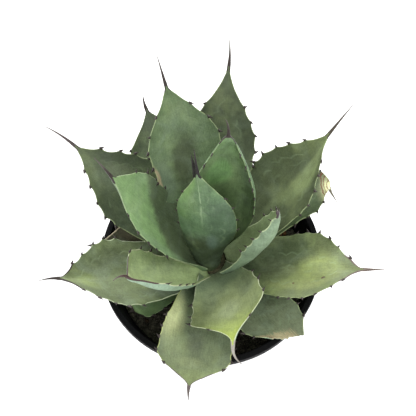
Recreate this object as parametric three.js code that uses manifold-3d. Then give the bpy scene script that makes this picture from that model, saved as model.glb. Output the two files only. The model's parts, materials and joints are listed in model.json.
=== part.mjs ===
// A potted agave: a rosette of toothed leaves, each tipped with a spine, round a short stem
// that stands in the soil of a nursery pot.
// Millimetres, +Z up, +Y towards the back. The origin is the middle of the pot's base.
import * as THREE from 'three';
import { mergeVertices } from 'three/addons/utils/BufferGeometryUtils.js';
import Module from 'manifold-3d';

const wasm = await Module();
wasm.setup();

const degree = Math.PI / 180;
const gap = 0.3; // between pieces that touch

// The pot
const potHeight = 115;
const rimRadius = 82.5; // outside of the turned-down rim
const rimSkirt = 7; // how far the rim is turned down
const wallTopRadius = 79.4; // outside of the wall, under the rim
const shoulderHeight = 84; // the wall steps out here
const shoulderStep = 1.2;
const wallBaseRadius = 55;
const wallThickness = 1.4;
const floorThickness = 2;
const chamfer = 1; // at the pot's edges and the stem's foot
const stepDrop = 0.01; // the wall's step is this tall
const potSides = 60;
const drainCount = 8;
const drainWidth = 13;
const drainHeight = 8;
const drainDepth = 12;
const cutterReach = 1; // how far a cutter starts outside what it cuts

// The soil
const soilTop = 89;
const soilRelief = 1.6; // height of its low mounds
const moundSpan = { across: 9, back: 11, slanted: 6, slantedShare: 0.4 };
const soilSides = 30;
const soilRings = 5; // across its top
const soilStepDrop = 1; // it steps out this far below the wall's shoulder
const soilInset = 0.85; // from the pot's wall, so that the facets of both keep clear of each other
const stemHoleDepth = 16;

// The stem
const stemRadius = 12;
const stemSides = 16;
const stemTop = 115;
const stemCrown = [[0, 14], [3, 5], [6, 1]]; // how far in from its side, and below its top

// The furled leaf at the heart
const budLength = 107;
const budRadius = 4.2;
const budShape = [[1, 0.3], [0.85, 0.6], [0.5, 0.88]]; // shares of its radius and its length
const budFoot = 0.7; // its radius at the stem as a share
const budSpine = 12;
const budTurn = 117;
const budRise = 76;
const budBack = 3; // behind the stem's middle
const budSides = 12;

// What all blades share
const footThickness = 6.5; // where a blade meets the stem
const endThickness = 2.2; // where it turns into its spine
const thinPower = 0.7; // below 1, a blade thins most near its foot
const marginThickness = 0.9;
const swellPower = 1.15; // above 1, a blade widens late from its foot
const hollowPower = 1.4; // above 1, a blade bends up most near its margins
const claspReach = 0.4; // the share of a blade over which its clasping foot opens out
const rollReach = 0.5; // the share of a blade over which its twist sets in
const tearPower = 3; // above 1, a torn blade slants most near its torn end
const spineRadius = 1.3;
const spineEndRadius = 0.42;
const spineDepth = 1.7; // from its upper to its under face, in radii
const spineTurnUp = 0.5; // radians
const spineRows = [0.3, 0.65, 1];
const tipRows = [0.6, 0.25, 0]; // shares of the bare length between the last tooth and the tip
const footRows = 4;
const bareTip = 0.4; // share of a toothless blade that those rows cover
const lastRowGap = 0.02; // least share of a blade between the torn end and the row before it
const toothClearance = 3; // from the foot's rows to the first tooth
const toothHalfWidth = 2.3;
const toothHeight = 2.8;
const toothLowestPlace = 0.3; // no teeth nearer the stem than this share of the blade
const across = [-1, -0.5, 0, 0.5, 1];
const hollowSteps = 12; // strides from the midrib to a margin
const strideShare = 1 / 48; // the midrib is walked in strides this long

// Each blade leaves the stem at a height and a radius, faces a compass turn counted from +X
// towards +Y, and climbs at an angle that changes from its foot to its tip.
// cup is how far its margins turn up from the midrib, clasp how far they do at the foot, and
// curl adds to the cup on the clockwise side, or on the other one where it is negative.
// roll is its twist and sweep its sideways bend; bend above 1 keeps its curving for the tip.
// widest is where along it the blade is widest, neck its width at the foot as a share of that,
// and taper how sharply it narrows to the tip. The spine carries on from the tip, and lift and
// swing bend it. A torn blade ends at a share of its length, and tearSlant is how much shorter
// its clockwise side is.
const blade = {
  bend: 1, cup: 32, clasp: 45, curl: 0, widest: 0.55, neck: 0.55, taper: 1.2, sweep: 0, roll: 0,
  spine: 20, lift: 0, swing: 0, firstTooth: 24, toothPitch: 11, teeth: 5, thickness: 1, torn: 1,
  tearSlant: 0,
};
const leaves = {
  heart_leaf: {
    turn: 286, rise: 96, tipRise: 115, length: 111, width: 44, height: 113, radius: 5.5, foot: 260,
    cup: 29, clasp: 60, widest: 0.56, neck: 0.45, taper: 1.23, roll: -31, sweep: 1, spine: 19,
    lift: 1, swing: -6, thickness: 0.8, firstTooth: 26, toothPitch: 12, teeth: 4, color: 0x62806c,
  },
  inner_leaf_back: {
    turn: 82, rise: 70, tipRise: 66, length: 111, width: 64, height: 112, radius: 12, foot: 60,
    cup: 68, clasp: 80, curl: 38, widest: 0.5, neck: 0.2, taper: 0.79, roll: 13, spine: 14,
    lift: -8, swing: 52, thickness: 0.6, firstTooth: 10, toothPitch: 8, teeth: 7, color: 0x5f8264,
  },
  inner_leaf_left: {
    turn: 163, rise: 48, tipRise: 62, length: 117, width: 52, height: 112, radius: 5, cup: 20,
    clasp: 85, widest: 0.62, neck: 0.58, taper: 1.23, roll: 19, sweep: -7, spine: 22, lift: -5,
    swing: -2, toothPitch: 12, color: 0x76926f,
  },
  inner_leaf_right: {
    turn: 3, rise: 46, tipRise: 98, length: 108, width: 41, height: 111, radius: 12, foot: 345,
    cup: 29, clasp: 80, curl: 73, widest: 0.49, neck: 0.66, taper: 1.28, roll: -15, sweep: -14,
    spine: 5, thickness: 0.5, firstTooth: 12, toothPitch: 12, color: 0x67805a,
  },
  inner_leaf_front_left: {
    turn: 204, rise: 29, tipRise: 68, length: 93, width: 50, height: 111, radius: 12, foot: 261,
    cup: 65, clasp: 65, widest: 0.71, neck: 0.12, roll: 23, sweep: 2, spine: 21, lift: -30,
    swing: 37, thickness: 0.8, firstTooth: 20, toothPitch: 13, teeth: 4, color: 0x748a62,
  },
  middle_leaf_back_left: {
    turn: 106, rise: 42, tipRise: 41, length: 131, width: 56, height: 111, radius: 8, cup: 33,
    widest: 0.65, taper: 1.32, roll: 8, sweep: 4, spine: 22, swing: 2, firstTooth: 19,
    toothPitch: 12, color: 0x5f7f66,
  },
  middle_leaf_front: {
    turn: 293, rise: 44, tipRise: 25, length: 89, width: 57, height: 108, radius: 10, foot: 285,
    cup: 27, clasp: 70, widest: 0.64, neck: 0.45, taper: 2.38, roll: 25, sweep: -26, spine: 17,
    lift: 1, swing: 52, firstTooth: 20, toothPitch: 12, teeth: 4, color: 0x8b9c60,
  },
  middle_leaf_back_right: {
    turn: 38, rise: 32, tipRise: 42, length: 127, width: 55, height: 108, radius: 9, cup: 24,
    widest: 0.59, neck: 0.39, taper: 1.48, roll: -11, sweep: 3, spine: 27, lift: -2, swing: -1,
    firstTooth: 18, toothPitch: 10, color: 0x627d5c,
  },
  middle_leaf_left: {
    turn: 144, rise: 27, tipRise: 28, length: 128, width: 54, height: 105, radius: 9, widest: 0.57,
    neck: 0.42, taper: 1.41, roll: -6, sweep: 3, spine: 26, lift: -9, swing: 15, firstTooth: 17,
    color: 0x58775a,
  },
  middle_leaf_back: {
    turn: 85, rise: 30, tipRise: 31, length: 141, width: 52, height: 105, radius: 9, widest: 0.59,
    neck: 0.52, taper: 1.59, roll: -2, sweep: -2, spine: 19, swing: 13, firstTooth: 31,
    toothPitch: 10.5, color: 0x546f55,
  },
  outer_leaf_left: {
    turn: 198, rise: 20, tipRise: 30, length: 113, width: 61, height: 103, radius: 10, cup: 20,
    widest: 0.58, neck: 0.48, taper: 1.31, roll: 17, sweep: -7, spine: 15, lift: -4, swing: 19,
    firstTooth: 14, toothPitch: 10, color: 0x7d9160,
  },
  outer_leaf_right: {
    turn: 347, rise: 27, tipRise: 20, length: 112, width: 59, height: 102, radius: 10, cup: 18,
    widest: 0.61, neck: 0.47, taper: 1.47, roll: -16, sweep: 5, spine: 14, lift: -1,
    firstTooth: 13, toothPitch: 9, teeth: 6, color: 0x8c9c58,
  },
  outer_leaf_front: {
    turn: 260, rise: 37, tipRise: -16, length: 96, width: 53, height: 100, radius: 10,
    widest: 0.77, neck: 0.42, taper: 1.46, roll: -8, sweep: 2, spine: 9, swing: 15, firstTooth: 15,
    toothPitch: 8, color: 0x93a56a,
  },
  outer_leaf_back: {
    turn: 115, rise: 19, tipRise: 21, length: 120, width: 53, height: 101, radius: 10, cup: 31,
    widest: 0.7, taper: 1.5, sweep: -2, spine: 10, swing: -20, firstTooth: 28, toothPitch: 9,
    color: 0x4f6b50,
  },
  bent_leaf_right: {
    turn: 36, rise: 22, tipRise: -80, bend: 5, length: 110, width: 37, height: 101, radius: 10,
    cup: 60, clasp: 60, widest: 0.73, neck: 0.74, taper: 1.47, roll: 30, sweep: -41, spine: 18,
    lift: 35, swing: -43, firstTooth: 18, teeth: 4, color: 0x8a9a5c,
  },
  torn_leaf_front_right: {
    turn: 312, rise: 24, tipRise: 2, length: 100, width: 44, height: 99, radius: 10, cup: 33,
    widest: 0.61, neck: 0.54, taper: 1.21, roll: -1, sweep: -5, torn: 0.84, firstTooth: 26,
    toothPitch: 10, tearSlant: 15, color: 0x6d7f5c,
  },
  short_leaf_front_left: {
    turn: 214, rise: 7, tipRise: -4, length: 60, width: 27, height: 98, radius: 10, cup: 35,
    widest: 0.85, neck: 0.5, taper: 0.85, roll: 12, sweep: -4, spine: 3, thickness: 0.7,
    firstTooth: 12, toothPitch: 9, teeth: 3, color: 0x56703f,
  },
  dead_leaf_left: {
    turn: 174, rise: 21, tipRise: 4, bend: 3, length: 83, width: 43, height: 96, radius: 10,
    widest: 0.67, taper: 1.72, sweep: 6, spine: 4, thickness: 0.35, teeth: 0, color: 0x4a3323,
  },
};

function solidOf(geometry) {
  const bare = geometry.clone();
  bare.deleteAttribute('normal');
  bare.deleteAttribute('uv');
  const merged = mergeVertices(bare, 1e-4);
  const corners = merged.index.array;
  const triangles = [];
  for (let i = 0; i < corners.length; i += 3) {
    const [a, b, c] = corners.slice(i, i + 3);
    if (a !== b && b !== c && c !== a) triangles.push(a, b, c);
  }
  return new wasm.Manifold(new wasm.Mesh({
    numProp: 3,
    vertProperties: Float32Array.from(merged.attributes.position.array),
    triVerts: Uint32Array.from(triangles),
  }));
}

function geometryOf(solid) {
  const mesh = solid.getMesh();
  const geometry = new THREE.BufferGeometry();
  geometry.setAttribute('position', new THREE.BufferAttribute(mesh.vertProperties, 3));
  geometry.setIndex(new THREE.BufferAttribute(mesh.triVerts, 1));
  return geometry;
}

// A profile of [radius, height] pairs, listed with the solid on its left, turned about Z.
function turned(profile, sides) {
  const points = profile.map(([radius, height]) => new THREE.Vector2(radius, height));
  return new THREE.LatheGeometry(points, sides).rotateX(Math.PI / 2);
}

function outsideRadius(height) {
  const slope = (wallTopRadius - shoulderStep - wallBaseRadius) / potHeight;
  const step = height < shoulderHeight ? 0 : shoulderStep;
  return wallBaseRadius + slope * height + step;
}

function potSolid() {
  const skirtFoot = potHeight - rimSkirt;
  const underRim = potHeight - wallThickness;
  const skirtInside = rimRadius - wallThickness;
  const stepFoot = shoulderHeight - stepDrop;
  const wallTop = outsideRadius(potHeight);
  const outside = [
    [0, 0],
    [wallBaseRadius - chamfer, 0],
    [wallBaseRadius, chamfer],
    [outsideRadius(stepFoot), stepFoot],
    [outsideRadius(shoulderHeight), shoulderHeight + shoulderStep],
    [wallTop, underRim],
    [skirtInside, underRim],
    [skirtInside, skirtFoot],
    [rimRadius, skirtFoot],
    [rimRadius, potHeight - chamfer],
    [rimRadius - chamfer, potHeight],
  ];
  const inside = [
    [wallTop - wallThickness, potHeight],
    [outsideRadius(shoulderHeight) - wallThickness, shoulderHeight + shoulderStep],
    [outsideRadius(stepFoot) - wallThickness, stepFoot],
    [wallBaseRadius - wallThickness, floorThickness],
    [0, floorThickness],
  ];
  let pot = solidOf(turned([...outside, ...inside], potSides));
  for (let i = 0; i < drainCount; i++) {
    const drain = new THREE.BoxGeometry(drainDepth, drainWidth, drainHeight);
    drain.translate(wallBaseRadius, 0, drainHeight / 2 - cutterReach);
    drain.rotateZ(((i + 0.5) / drainCount) * 2 * Math.PI);
    pot = pot.subtract(solidOf(drain));
  }
  return pot;
}

// Low mounds, so that the soil isn't flat.
function moundHeight(x, y) {
  const { across: wide, back, slanted, slantedShare } = moundSpan;
  const mounds = Math.sin(x / wide + 1) * Math.cos(y / back);
  const ridges = slantedShare * Math.sin((x + 2 * y) / slanted);
  return (soilRelief * (mounds + ridges)) / (1 + slantedShare);
}

function soilGeometry() {
  const edge = outsideRadius(soilTop) - wallThickness - soilInset;
  const foot = wallBaseRadius - wallThickness - soilInset;
  const stepFoot = shoulderHeight - soilStepDrop;
  const stepEdge = outsideRadius(stepFoot) - wallThickness - soilInset;
  const holeRadius = stemRadius + 2 * gap;
  const profile = [
    [0, floorThickness + gap],
    [foot, floorThickness + gap],
    [stepEdge, stepFoot],
  ];
  for (let i = 0; i <= soilRings; i++) {
    profile.push([edge + ((holeRadius - edge) * i) / soilRings, soilTop]);
  }
  profile.push([holeRadius, soilTop - stemHoleDepth], [0, soilTop - stemHoleDepth]);
  const geometry = turned(profile, soilSides);
  const position = geometry.attributes.position;
  for (let i = 0; i < position.count; i++) {
    if (Math.abs(position.getZ(i) - soilTop) < 1e-3) {
      position.setZ(i, soilTop + moundHeight(position.getX(i), position.getY(i)));
    }
  }
  return geometry;
}

function stemProfile(grow) {
  return [
    [0, soilTop - stemHoleDepth + gap - grow],
    [stemRadius - chamfer + grow, soilTop - stemHoleDepth + gap - grow],
    [stemRadius + grow, soilTop],
    ...stemCrown.map(([inset, drop]) => [stemRadius - inset + grow, stemTop - drop + grow]),
    [0, stemTop + grow],
  ];
}

function budGeometry(grow) {
  const profile = [
    [0, -grow],
    [budFoot * budRadius + grow, -grow],
    ...budShape.map(([wide, place]) => [wide * budRadius + grow, place * budLength]),
    [spineRadius + grow, budLength],
    [spineEndRadius + grow, budLength + budSpine + grow],
    [0, budLength + budSpine + grow],
  ];
  const geometry = turned(profile, budSides);
  geometry.rotateY((90 - budRise) * degree);
  geometry.rotateZ(budTurn * degree);
  const seat = budFoot * budRadius * Math.cos(budRise * degree);
  return geometry.translate(0, budBack, stemTop + gap + seat);
}

function heading(rise, turn) {
  const level = Math.cos(rise * degree);
  return new THREE.Vector3(
    level * Math.cos(turn * degree),
    level * Math.sin(turn * degree),
    Math.sin(rise * degree),
  );
}

function bladeTurn(leaf, place) {
  return leaf.turn + leaf.sweep * place ** leaf.bend;
}

function bladeHeading(leaf, place) {
  const rise = leaf.rise + (leaf.tipRise - leaf.rise) * place ** leaf.bend;
  return heading(rise, bladeTurn(leaf, place));
}

// The midrib's point and the directions along, across and out of the blade there.
function bladeFrame(leaf, place, point) {
  const along = bladeHeading(leaf, place);
  const turn = bladeTurn(leaf, place) * degree;
  const side = new THREE.Vector3(-Math.sin(turn), Math.cos(turn), 0);
  const up = new THREE.Vector3().crossVectors(along, side);
  const roll = leaf.roll * degree * THREE.MathUtils.smoothstep(place, 0, rollReach);
  const rolledSide = side.clone().multiplyScalar(Math.cos(roll)).addScaledVector(up, Math.sin(roll));
  return { point, along, side: rolledSide, up: new THREE.Vector3().crossVectors(along, rolledSide) };
}

function walkBlade(leaf, places) {
  const foot = (leaf.foot ?? leaf.turn) * degree;
  const point = new THREE.Vector3(leaf.radius * Math.cos(foot), leaf.radius * Math.sin(foot), leaf.height);
  let walked = 0;
  return places.map((place) => {
    const strides = Math.max(1, Math.ceil((place - walked) / strideShare));
    const stride = (place - walked) / strides;
    for (let i = 0; i < strides; i++) {
      point.addScaledVector(bladeHeading(leaf, walked + (i + 0.5) * stride), stride * leaf.length);
    }
    walked = place;
    return bladeFrame(leaf, place, point.clone());
  });
}

function walkSpine(leaf, tip) {
  const tipTurn = leaf.turn + leaf.sweep;
  const point = tip.point.clone();
  let walked = 0;
  return spineRows.map((place) => {
    const middle = (walked + place) / 2;
    const along = heading(leaf.tipRise + leaf.lift * middle, tipTurn + leaf.swing * middle);
    point.addScaledVector(along, (place - walked) * leaf.spine);
    walked = place;
    const side = tip.side.clone().addScaledVector(along, -tip.side.dot(along)).normalize();
    return { point: point.clone(), along, side, up: new THREE.Vector3().crossVectors(along, side) };
  });
}

function halfWidth(leaf, place) {
  const fromFoot = Math.min(1, place / leaf.widest) ** swellPower;
  const fromTip = Math.min(1, (1 - place) / (1 - leaf.widest)) ** leaf.taper;
  const rising = leaf.neck + (1 - leaf.neck) * Math.sin((Math.PI / 2) * fromFoot);
  const falling = Math.sin((Math.PI / 2) * fromTip);
  const share = place < leaf.widest ? rising : falling;
  return Math.max(spineRadius, (leaf.width / 2) * share);
}

// Places along the blade: a few at its foot, three for each tooth and three before its tip.
function bladeRows(leaf) {
  const rows = [];
  const lastTooth = leaf.teeth === 0 ? bareTip : leaf.firstTooth / leaf.length;
  const teeth = [];
  for (let i = leaf.teeth - 1; i >= 0; i--) {
    const place = 1 - (leaf.firstTooth + i * leaf.toothPitch) / leaf.length;
    if (place > toothLowestPlace) teeth.push(place);
  }
  const bare = teeth.length ? teeth[0] - toothClearance / leaf.length : 1 - lastTooth;
  for (let i = 0; i < footRows; i++) rows.push({ place: (bare * i) / footRows, tooth: 0 });
  for (const place of teeth) {
    rows.push({ place: place - toothHalfWidth / leaf.length, tooth: 0 });
    rows.push({ place, tooth: toothHeight });
    rows.push({ place: place + toothHalfWidth / leaf.length, tooth: 0 });
  }
  for (const share of tipRows) rows.push({ place: 1 - lastTooth * share, tooth: 0 });
  if (leaf.torn === 1) return rows;
  const kept = rows.filter(({ place }) => place < leaf.torn - lastRowGap);
  return [...kept, { place: leaf.torn, tooth: 0 }];
}

// How far one side's margin turns up from the midrib.
function turnUp(leaf, place, side) {
  const own = Math.sign(leaf.curl) === -side ? Math.abs(leaf.curl) : 0;
  const cup = leaf.cup + own;
  const opened = THREE.MathUtils.smoothstep(place, 0, claspReach);
  return THREE.MathUtils.lerp(Math.max(cup, leaf.clasp), cup, opened) * degree;
}

// The upper face across the blade: it bends up more and more from the midrib to each margin.
function hollow(half, share, turnedUp) {
  const bendAt = (reach) => turnedUp * reach ** hollowPower;
  const reach = Math.abs(share);
  const stride = reach / hollowSteps;
  const side = Math.sign(share);
  let [x, y] = [0, 0];
  for (let i = 0; i < hollowSteps; i++) {
    x += side * half * stride * Math.cos(bendAt((i + 0.5) * stride));
    y += half * stride * Math.sin(bendAt((i + 0.5) * stride));
  }
  return { x, y, angle: side * bendAt(reach) };
}

// One closed ring round the blade: over its upper face, then back under it.
function ring(frame, half, turnUps, thickness, edge, tooth, grow, slant = 0) {
  const upper = across.map((share) => {
    const { x, y, angle } = hollow(half, share, turnUps[share < 0 ? 0 : 1]);
    const out = Math.abs(share) === 1 ? share * (tooth + grow) : 0;
    const depth = edge + (thickness - edge) * (1 - share * share);
    const back = (slant * (1 - share)) / 2;
    return { x: x + out * Math.cos(angle), y: y + out * Math.sin(angle), angle, depth, back };
  });
  const lifted = ({ x, y, angle, back }, by) => frame.point.clone()
    .addScaledVector(frame.side, x - by * Math.sin(angle))
    .addScaledVector(frame.up, y + by * Math.cos(angle))
    .addScaledVector(frame.along, -back);
  const top = upper.map((spot) => lifted(spot, grow));
  const under = upper.map((spot) => lifted(spot, -spot.depth - grow));
  return [...top, ...under.reverse()];
}

// Skins a row of rings, closed at both ends by strips from the upper to the lower face.
function loft(rings) {
  const count = rings[0].length;
  const half = count / 2;
  const index = [];
  for (let i = 0; i + 1 < rings.length; i++) {
    for (let j = 0; j < count; j++) {
      const [a, b] = [i * count + j, i * count + ((j + 1) % count)];
      const [c, d] = [a + count, b + count];
      if (j < half) index.push(a, c, b, b, c, d);
      else index.push(a, c, d, a, d, b);
    }
  }
  const last = (rings.length - 1) * count;
  for (let j = 0; j + 1 < half; j++) {
    const [a, b, c, d] = [j, j + 1, count - 2 - j, count - 1 - j];
    index.push(a, b, c, a, c, d);
    index.push(last + a, last + c, last + b, last + a, last + d, last + c);
  }
  const geometry = new THREE.BufferGeometry();
  const points = rings.flat().flatMap((point) => point.toArray());
  geometry.setAttribute('position', new THREE.Float32BufferAttribute(points, 3));
  geometry.setIndex(index);
  return geometry;
}

function leafGeometry(leaf, grow) {
  const rows = bladeRows(leaf);
  const frames = walkBlade(leaf, rows.map(({ place }) => place));
  frames[0].point.addScaledVector(frames[0].along, -grow);
  const rings = frames.map((frame, i) => {
    const { place, tooth } = rows[i];
    const thinning = footThickness + (endThickness - footThickness) * place ** thinPower;
    const turnUps = [turnUp(leaf, place, -1), turnUp(leaf, place, 1)];
    const thickness = thinning * leaf.thickness;
    const slant = leaf.tearSlant * (place / leaf.torn) ** tearPower;
    return ring(frame, halfWidth(leaf, place), turnUps, thickness, marginThickness, tooth, grow, slant);
  });
  const tip = frames.at(-1);
  if (leaf.torn < 1) {
    tip.point.addScaledVector(tip.along, grow);
    return loft(rings);
  }
  walkSpine(leaf, tip).forEach((frame, i) => {
    const radius = spineRadius + (spineEndRadius - spineRadius) * spineRows[i];
    if (i === spineRows.length - 1) frame.point.addScaledVector(frame.along, grow);
    rings.push(ring(frame, radius, [spineTurnUp, spineTurnUp], spineDepth * radius, radius, 0, grow));
  });
  return loft(rings);
}

function largestPiece(solid) {
  const pieces = solid.decompose();
  return pieces.reduce((best, piece) => (piece.volume() > best.volume() ? piece : best));
}

function finish(name, geometry, color, roughness) {
  const material = new THREE.MeshStandardMaterial({ color, roughness, metalness: 0 });
  const mesh = new THREE.Mesh(geometry, material);
  mesh.name = name;
  return mesh;
}

function buildPlant() {
  const plant = new THREE.Group();
  plant.add(finish('stem', turned(stemProfile(0), stemSides), 0x6b6a48, 0.8));
  plant.add(finish('bud', budGeometry(0), 0x6f8a6c, 0.55));
  // A younger blade keeps its whole foot, and the older ones below it are cut clear of it.
  const taken = [solidOf(turned(stemProfile(gap), stemSides)), solidOf(budGeometry(gap))];
  for (const [name, own] of Object.entries(leaves)) {
    const leaf = { ...blade, ...own };
    let solid = solidOf(leafGeometry(leaf, 0));
    for (const other of taken) solid = solid.subtract(other);
    taken.push(solidOf(leafGeometry(leaf, gap)));
    plant.add(finish(name, geometryOf(largestPiece(solid)), leaf.color, 0.55));
  }
  return plant;
}

const pottedAgave = new THREE.Group();
pottedAgave.add(finish('pot', geometryOf(potSolid()), 0x1d1d1f, 0.45));
pottedAgave.add(finish('soil', soilGeometry(), 0x2b2520, 0.95));
pottedAgave.add(buildPlant());

export default pottedAgave;
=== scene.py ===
# A potted agave: toothed, spine-tipped leaves round a short stem, in a nursery pot of dark mix.
# Sizes here are millimetres and degrees unless a note says otherwise; meshes are built in metres.
import json
import math
import random

import bmesh
import bpy
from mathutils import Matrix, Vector, noise

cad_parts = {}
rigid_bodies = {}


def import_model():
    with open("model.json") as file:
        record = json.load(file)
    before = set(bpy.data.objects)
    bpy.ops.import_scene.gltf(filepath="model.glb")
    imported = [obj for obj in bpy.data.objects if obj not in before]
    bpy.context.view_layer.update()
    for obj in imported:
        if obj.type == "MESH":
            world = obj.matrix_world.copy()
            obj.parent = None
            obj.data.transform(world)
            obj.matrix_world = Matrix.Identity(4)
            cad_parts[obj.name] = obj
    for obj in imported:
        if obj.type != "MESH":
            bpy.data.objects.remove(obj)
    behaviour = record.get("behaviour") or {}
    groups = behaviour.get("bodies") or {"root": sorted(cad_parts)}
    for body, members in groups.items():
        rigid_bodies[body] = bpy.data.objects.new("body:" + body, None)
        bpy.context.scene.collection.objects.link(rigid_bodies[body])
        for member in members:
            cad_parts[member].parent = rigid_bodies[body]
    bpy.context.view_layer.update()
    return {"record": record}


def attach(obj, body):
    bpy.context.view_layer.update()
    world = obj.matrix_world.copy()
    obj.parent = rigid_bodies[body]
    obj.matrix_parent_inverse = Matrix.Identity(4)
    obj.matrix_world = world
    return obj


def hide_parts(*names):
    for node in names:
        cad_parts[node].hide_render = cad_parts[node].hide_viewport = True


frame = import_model()
scene = bpy.context.scene
mm = 0.001
up = Vector((0, 0, 1))


def smoothstep(value, low=0.0, high=1.0):
    t = min(1.0, max(0.0, (value - low) / (high - low)))
    return t * t * (3 - 2 * t)


def mix(a, b, share):
    return a + (b - a) * share


def makeObject(name, vertices, faces, materials=(), smooth=True):
    mesh = bpy.data.meshes.new(name)
    mesh.from_pydata([[c * mm for c in v] for v in vertices], [], faces)
    for material in materials:
        mesh.materials.append(material)
    made = bpy.data.objects.new(name, mesh)
    scene.collection.objects.link(made)
    if smooth:
        mesh.shade_smooth()
    return made


def outwardNormals(made, mergeDistance=1e-7):
    shape = bmesh.new()
    shape.from_mesh(made.data)
    bmesh.ops.remove_doubles(shape, verts=shape.verts, dist=mergeDistance)
    bmesh.ops.recalc_face_normals(shape, faces=shape.faces)
    shape.to_mesh(made.data)
    shape.free()


def storeValues(made, name, kind, values):
    layer = made.data.attributes.new(name, kind, "POINT")
    if kind == "FLOAT":
        layer.data.foreach_set("value", values)
    else:
        layer.data.foreach_set("vector", [c for v in values for c in v])


def bakeModifiers(made):
    # the evaluated mesh becomes the object's own, and its modifiers go
    depsgraph = bpy.context.evaluated_depsgraph_get()
    mesh = bpy.data.meshes.new_from_object(made.evaluated_get(depsgraph), depsgraph=depsgraph)
    made.modifiers.clear()
    made.data = mesh
    return made


def handOver(made, slot, *nodes):
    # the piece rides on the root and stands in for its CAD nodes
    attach(made, "root")
    if nodes:
        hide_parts(*nodes)


class Wire:
    # a socket of a material, with sums that add Math nodes
    def __init__(self, finish, socket):
        self.finish = finish
        self.socket = socket

    def math(self, operation, *values):
        return self.finish.node("Math", {"operation": operation}, dict(enumerate(values)))

    def __add__(self, other):
        return self.math("ADD", self, other)

    def __radd__(self, other):
        return self.math("ADD", other, self)

    def __sub__(self, other):
        return self.math("SUBTRACT", self, other)

    def __rsub__(self, other):
        return self.math("SUBTRACT", other, self)

    def __mul__(self, other):
        return self.math("MULTIPLY", self, other)

    def __rmul__(self, other):
        return self.math("MULTIPLY", other, self)

    def __pow__(self, other):
        return self.math("POWER", self, other)

    def __abs__(self):
        return self.math("ABSOLUTE", self)


class Finish:
    # a material under construction
    def __init__(self, name):
        self.material = bpy.data.materials.new(name)
        self.material.use_nodes = True
        self.tree = self.material.node_tree
        self.tree.nodes.clear()

    def node(self, kind, settings=None, sockets=None, output=0):
        # settings come first, then the values or links of its sockets; a plain colour gets its alpha
        made = self.tree.nodes.new("ShaderNode" + kind)
        for key, value in (settings or {}).items():
            setattr(made, key, value)
        for key, value in (sockets or {}).items():
            if isinstance(value, Wire):
                self.tree.links.new(value.socket, made.inputs[key])
            elif isinstance(value, tuple) and len(value) == 3 and made.inputs[key].type == "RGBA":
                made.inputs[key].default_value = (*value, 1.0)
            else:
                made.inputs[key].default_value = value
        return Wire(self, made.outputs[output]) if made.outputs else made

    def objectPlace(self):
        return self.node("TexCoord", output="Object")

    def attribute(self, name, output="Vector"):
        return self.node("Attribute", {"attribute_name": name}, output=output)

    def parts(self, vector):
        return [self.node("SeparateXYZ", {}, {0: vector}, output=i) for i in range(3)]

    def vector(self, x, y, z):
        return self.node("CombineXYZ", {}, {0: x, 1: y, 2: z})

    def scaled(self, vector, factors):
        return self.node("VectorMath", {"operation": "MULTIPLY"}, {0: vector, 1: factors})

    def noise(self, vector, scale, detail=2.0, roughness=0.5, distortion=0.0):
        return self.node("TexNoise", {}, {"Vector": vector, "Scale": scale, "Detail": detail,
                                          "Roughness": roughness, "Distortion": distortion})

    def ease(self, value, low, high, start=0.0, end=1.0):
        settings = {"interpolation_type": "SMOOTHSTEP"}
        return self.node("MapRange", settings, {0: value, 1: low, 2: high, 3: start, 4: end})

    def fade(self, value, low, high):
        return self.ease(value, low, high, 1.0, 0.0)

    def blend(self, share, a, b, how="MIX"):
        settings = {"data_type": "RGBA", "blend_type": how}
        return self.node("Mix", settings, {0: share, 6: a, 7: b}, output=2)  # its colour sockets

    def bump(self, height, distance, strength=1.0):
        return self.node("Bump", {}, {"Height": height, "Distance": distance, "Strength": strength})

    def close(self, **sockets):
        # the surface itself; an underscore stands for the space in a socket's name
        named = {key.replace("_", " "): value for key, value in sockets.items()}
        shader = self.node("BsdfPrincipled", {}, named)
        self.node("OutputMaterial", {}, {"Surface": shader})
        return self.material


hornColors = {
    "dark": (0.020, 0.014, 0.012), "worn": (0.075, 0.058, 0.052), "point": (0.13, 0.11, 0.10),
}


def hornFinish():
    # teeth: dark brown, faintly ridged
    finish = Finish("horn")
    streaks = finish.noise(finish.objectPlace(), 900.0, 3.0)
    color = finish.blend(finish.ease(streaks, 0.4, 0.75), hornColors["dark"], hornColors["worn"])
    return finish.close(Base_Color=color, Roughness=0.5, Specular_IOR_Level=0.35,
                        Normal=finish.bump(streaks, 0.0002, 0.5))


skinDefaults = {
    # colours from the foot to the tip, where they change, and how far that line leans across; a foot
    # colour darker than the main one is painted shade, the shade deep among the leaves
    "foot": (0.10, 0.14, 0.08), "main": (0.17, 0.24, 0.12), "tip": (0.19, 0.26, 0.13),
    "change": 0.30, "soft": 0.16, "lean": 0.0, "tipFrom": 0.65, "tipShare": 0.8,
    "under": (0.23, 0.33, 0.22), "underShare": 1.0,
    "margin": (0.34, 0.41, 0.20), "marginWidth": 0.35, "marginShare": 0.7,
    "blotch": (0.27, 0.33, 0.13), "blotches": 0.12, "blotchSize": 24.0, "mottle": 1.25,
    # the print of another leaf's margin: strength, millimetres in from the edge and a scallop
    "imprint": 0.5, "imprintInset": 9.0, "imprintPitch": 9.0,
    # waxy bloom, brown specks, a painted highlight along the middle fold, where cross scars lie,
    # coloured places (real marks, and also some painted shade and painted light) and how far
    # fibres fray their rims
    "bloom": 0.25, "specks": 0.2, "foldHighlight": 0.0, "scars": (), "patches": (), "fibres": 0.0,
    # the spine's tone, how worn it is, and how far its brown runs down the margins
    "spine": (0.032, 0.024, 0.021), "wear": 0.5, "hornReach": 7.0,
}

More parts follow.
